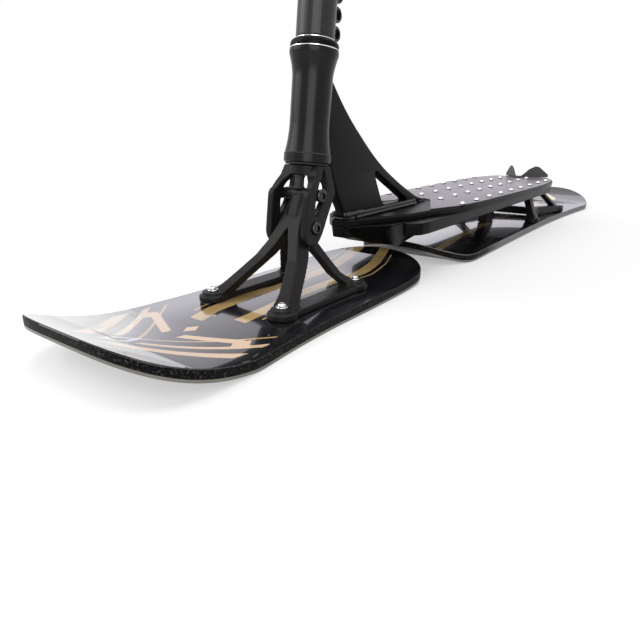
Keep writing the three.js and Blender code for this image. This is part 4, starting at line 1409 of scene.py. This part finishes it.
grip = {
    "bore": 16.2 * mm,
    "edge": 0.6 * mm,
    "plain": 6 * mm,
    "ribs": 24,
    "rib": ((0.15, 0.9 * mm), (0.45, 0.9 * mm), (0.6, 0), (0.95, 0)),  # share of the pitch, depth
    "sides": 48,
}
plug = {
    "tall": 3.5 * mm,
    "stem": ((12.8 * mm, 16 * mm), (13.0 * mm, 0)),  # radius, and how far under the seat
    "foot": ((0.3 * mm, 0.1 * mm), (0, 0.6 * mm), (0.2 * mm, 2.2 * mm)),  # in, and above the seat
    "dome": ((1.6 * mm, 0.2 * mm), (5 * mm, 0), (6 * mm, 0.5 * mm)),  # in, and under the face
}
for side, sign in (("left", 1), ("right", -1)):
    node = side + "_grip"
    low, high = axisBox(node)
    start, end = sorted((abs(low.y), abs(high.y)))
    outer, edge, bore = high.x, grip["edge"], grip["bore"]
    sleeve = [(bore, start), (outer - edge, start), (outer, start + edge), (outer, start + grip["plain"])]
    pitch = (end - start - 2 * grip["plain"]) / grip["ribs"]
    for i in range(grip["ribs"]):
        at = start + grip["plain"] + i * pitch
        sleeve += [(outer - deep, at + share * pitch) for share, deep in grip["rib"]]
    sleeve += [(outer, end - edge), (outer - edge, end), (bore, end), (bore, start)]
    lie = leaning @ crossLie
    if sign < 0:
        lie = lie @ Matrix.Rotation(math.pi, 4, "X")
    finishPiece(turnedAt(sleeve, grip["sides"], lie), node + "_sleeve", "rubber", steered, [node])
    node = side + "_bar_end"
    low, high = axisBox(node)
    face = max(abs(low.y), abs(high.y))
    seat = face - plug["tall"]
    profile = [(radius, seat - deep) for radius, deep in plug["stem"]]
    profile += [(outer - inset, seat + up) for inset, up in plug["foot"]]
    profile += [(outer - inset, face - down) for inset, down in plug["dome"]]
    plugPiece = turnedAt(profile, grip["sides"], lie, capped=True)
    finishPiece(plugPiece, node + "_cap", "plastic", steered, [node])

clampScrew = {"headTall": 4.7 * mm, "shank": 2.4 * mm}
for i in range(1, 5):
    crossScrew("clamp_bolt_" + str(i), clampScrew["headTall"], clampScrew["shank"], "coat")

stemScrew = {"headTall": 2.6 * mm, "shank": 3.8 * mm}
low, high = axisBox("compression_bolt")
headSize = (high.x, high.z - stemScrew["headTall"], high.z)
screwPiece("compression_bolt", headSize, (stemScrew["shank"], low.z), leaning, "coat", steered)
for node in ("lower_bearing", "upper_bearing", "compression_ring", "steerer_shim", "star_nut"):
    nodes[node].data.materials.clear()
    nodes[node].data.materials.append(finishes["dark" if node == "lower_bearing" else "inner"])
print("handlebar, grips and clamp dressed")


# Stage: pale floor, soft studio light and a white surround
stage = {
    "size": 60,
    "drop": 0.0004,
    "floor": 0.55,
    "farGlow": 0.82,
    "nearGlow": 0.38,
    "spread": 3,
    "worldLight": 0.34,
    "cards": (0.95, 0.925, 1.0),
}
bpy.ops.mesh.primitive_plane_add(size=stage["size"], location=(0, 0, -stage["drop"]))
floor = bpy.context.object
floor.name = "floor"
floorPaint = Paint("floorWhite")
floorPaint.set(Base_Color=grey(stage["floor"]), Roughness=0.9, Specular_IOR_Level=0.0)


def onlySeen(paint):
    # one for rays from the camera, and for those that show up in metal or gloss
    kinds = ["Is " + kind + " Ray" for kind in ("Camera", "Glossy", "Transmission")]
    camera, glossy, through = [paint.node("ShaderNodeLightPath", {}, {}, kind) for kind in kinds]
    return camera.most(glossy).most(through)


x, y, z = floorPaint.axes()
near = 1.0 / (1.0 + (x * x + y * y) / stage["spread"])  # the lamps light the middle, the glow the rest
glow = floorPaint.mix(near * near, grey(stage["farGlow"]), grey(stage["nearGlow"]))
floorPaint.set(Emission_Color=glow, Emission_Strength=onlySeen(floorPaint))
floor.data.materials.append(floorPaint.owner)

world = bpy.data.worlds.new("studio")
bpy.context.scene.world = world
air = Paint("air", world)
sky = air.tree.nodes["Background"].inputs
glossy = air.node("ShaderNodeLightPath", {}, {}, "Is Glossy Ray")
air.feed(sky["Color"], air.mix(glossy, (1.0, 1.0, 1.0), stage["cards"]))
air.feed(sky["Strength"], stage["worldLight"] + (1.0 - stage["worldLight"]) * onlySeen(air))

lamps = (
    {"place": (1.6, -1.6, 1.4), "aim": (0.3, 0, 0.15), "size": 1.8, "power": 32},
    {"place": (-0.2, 0.1, 2.3), "aim": (-0.1, 0, 0.1), "size": 2.4, "power": 34},
    {"place": (1.55, 0.95, 0.8), "aim": (0.3, 0, 0.15), "size": 1.2, "power": 14},
)
for lamp in lamps:
    direction = Vector(lamp["aim"]) - Vector(lamp["place"])
    turn = direction.to_track_quat("-Z", "Y").to_euler()
    bpy.ops.object.light_add(type="AREA", location=lamp["place"], rotation=turn)
    bpy.context.object.data.size = lamp["size"]
    bpy.context.object.data.energy = lamp["power"]
print("stage lit")
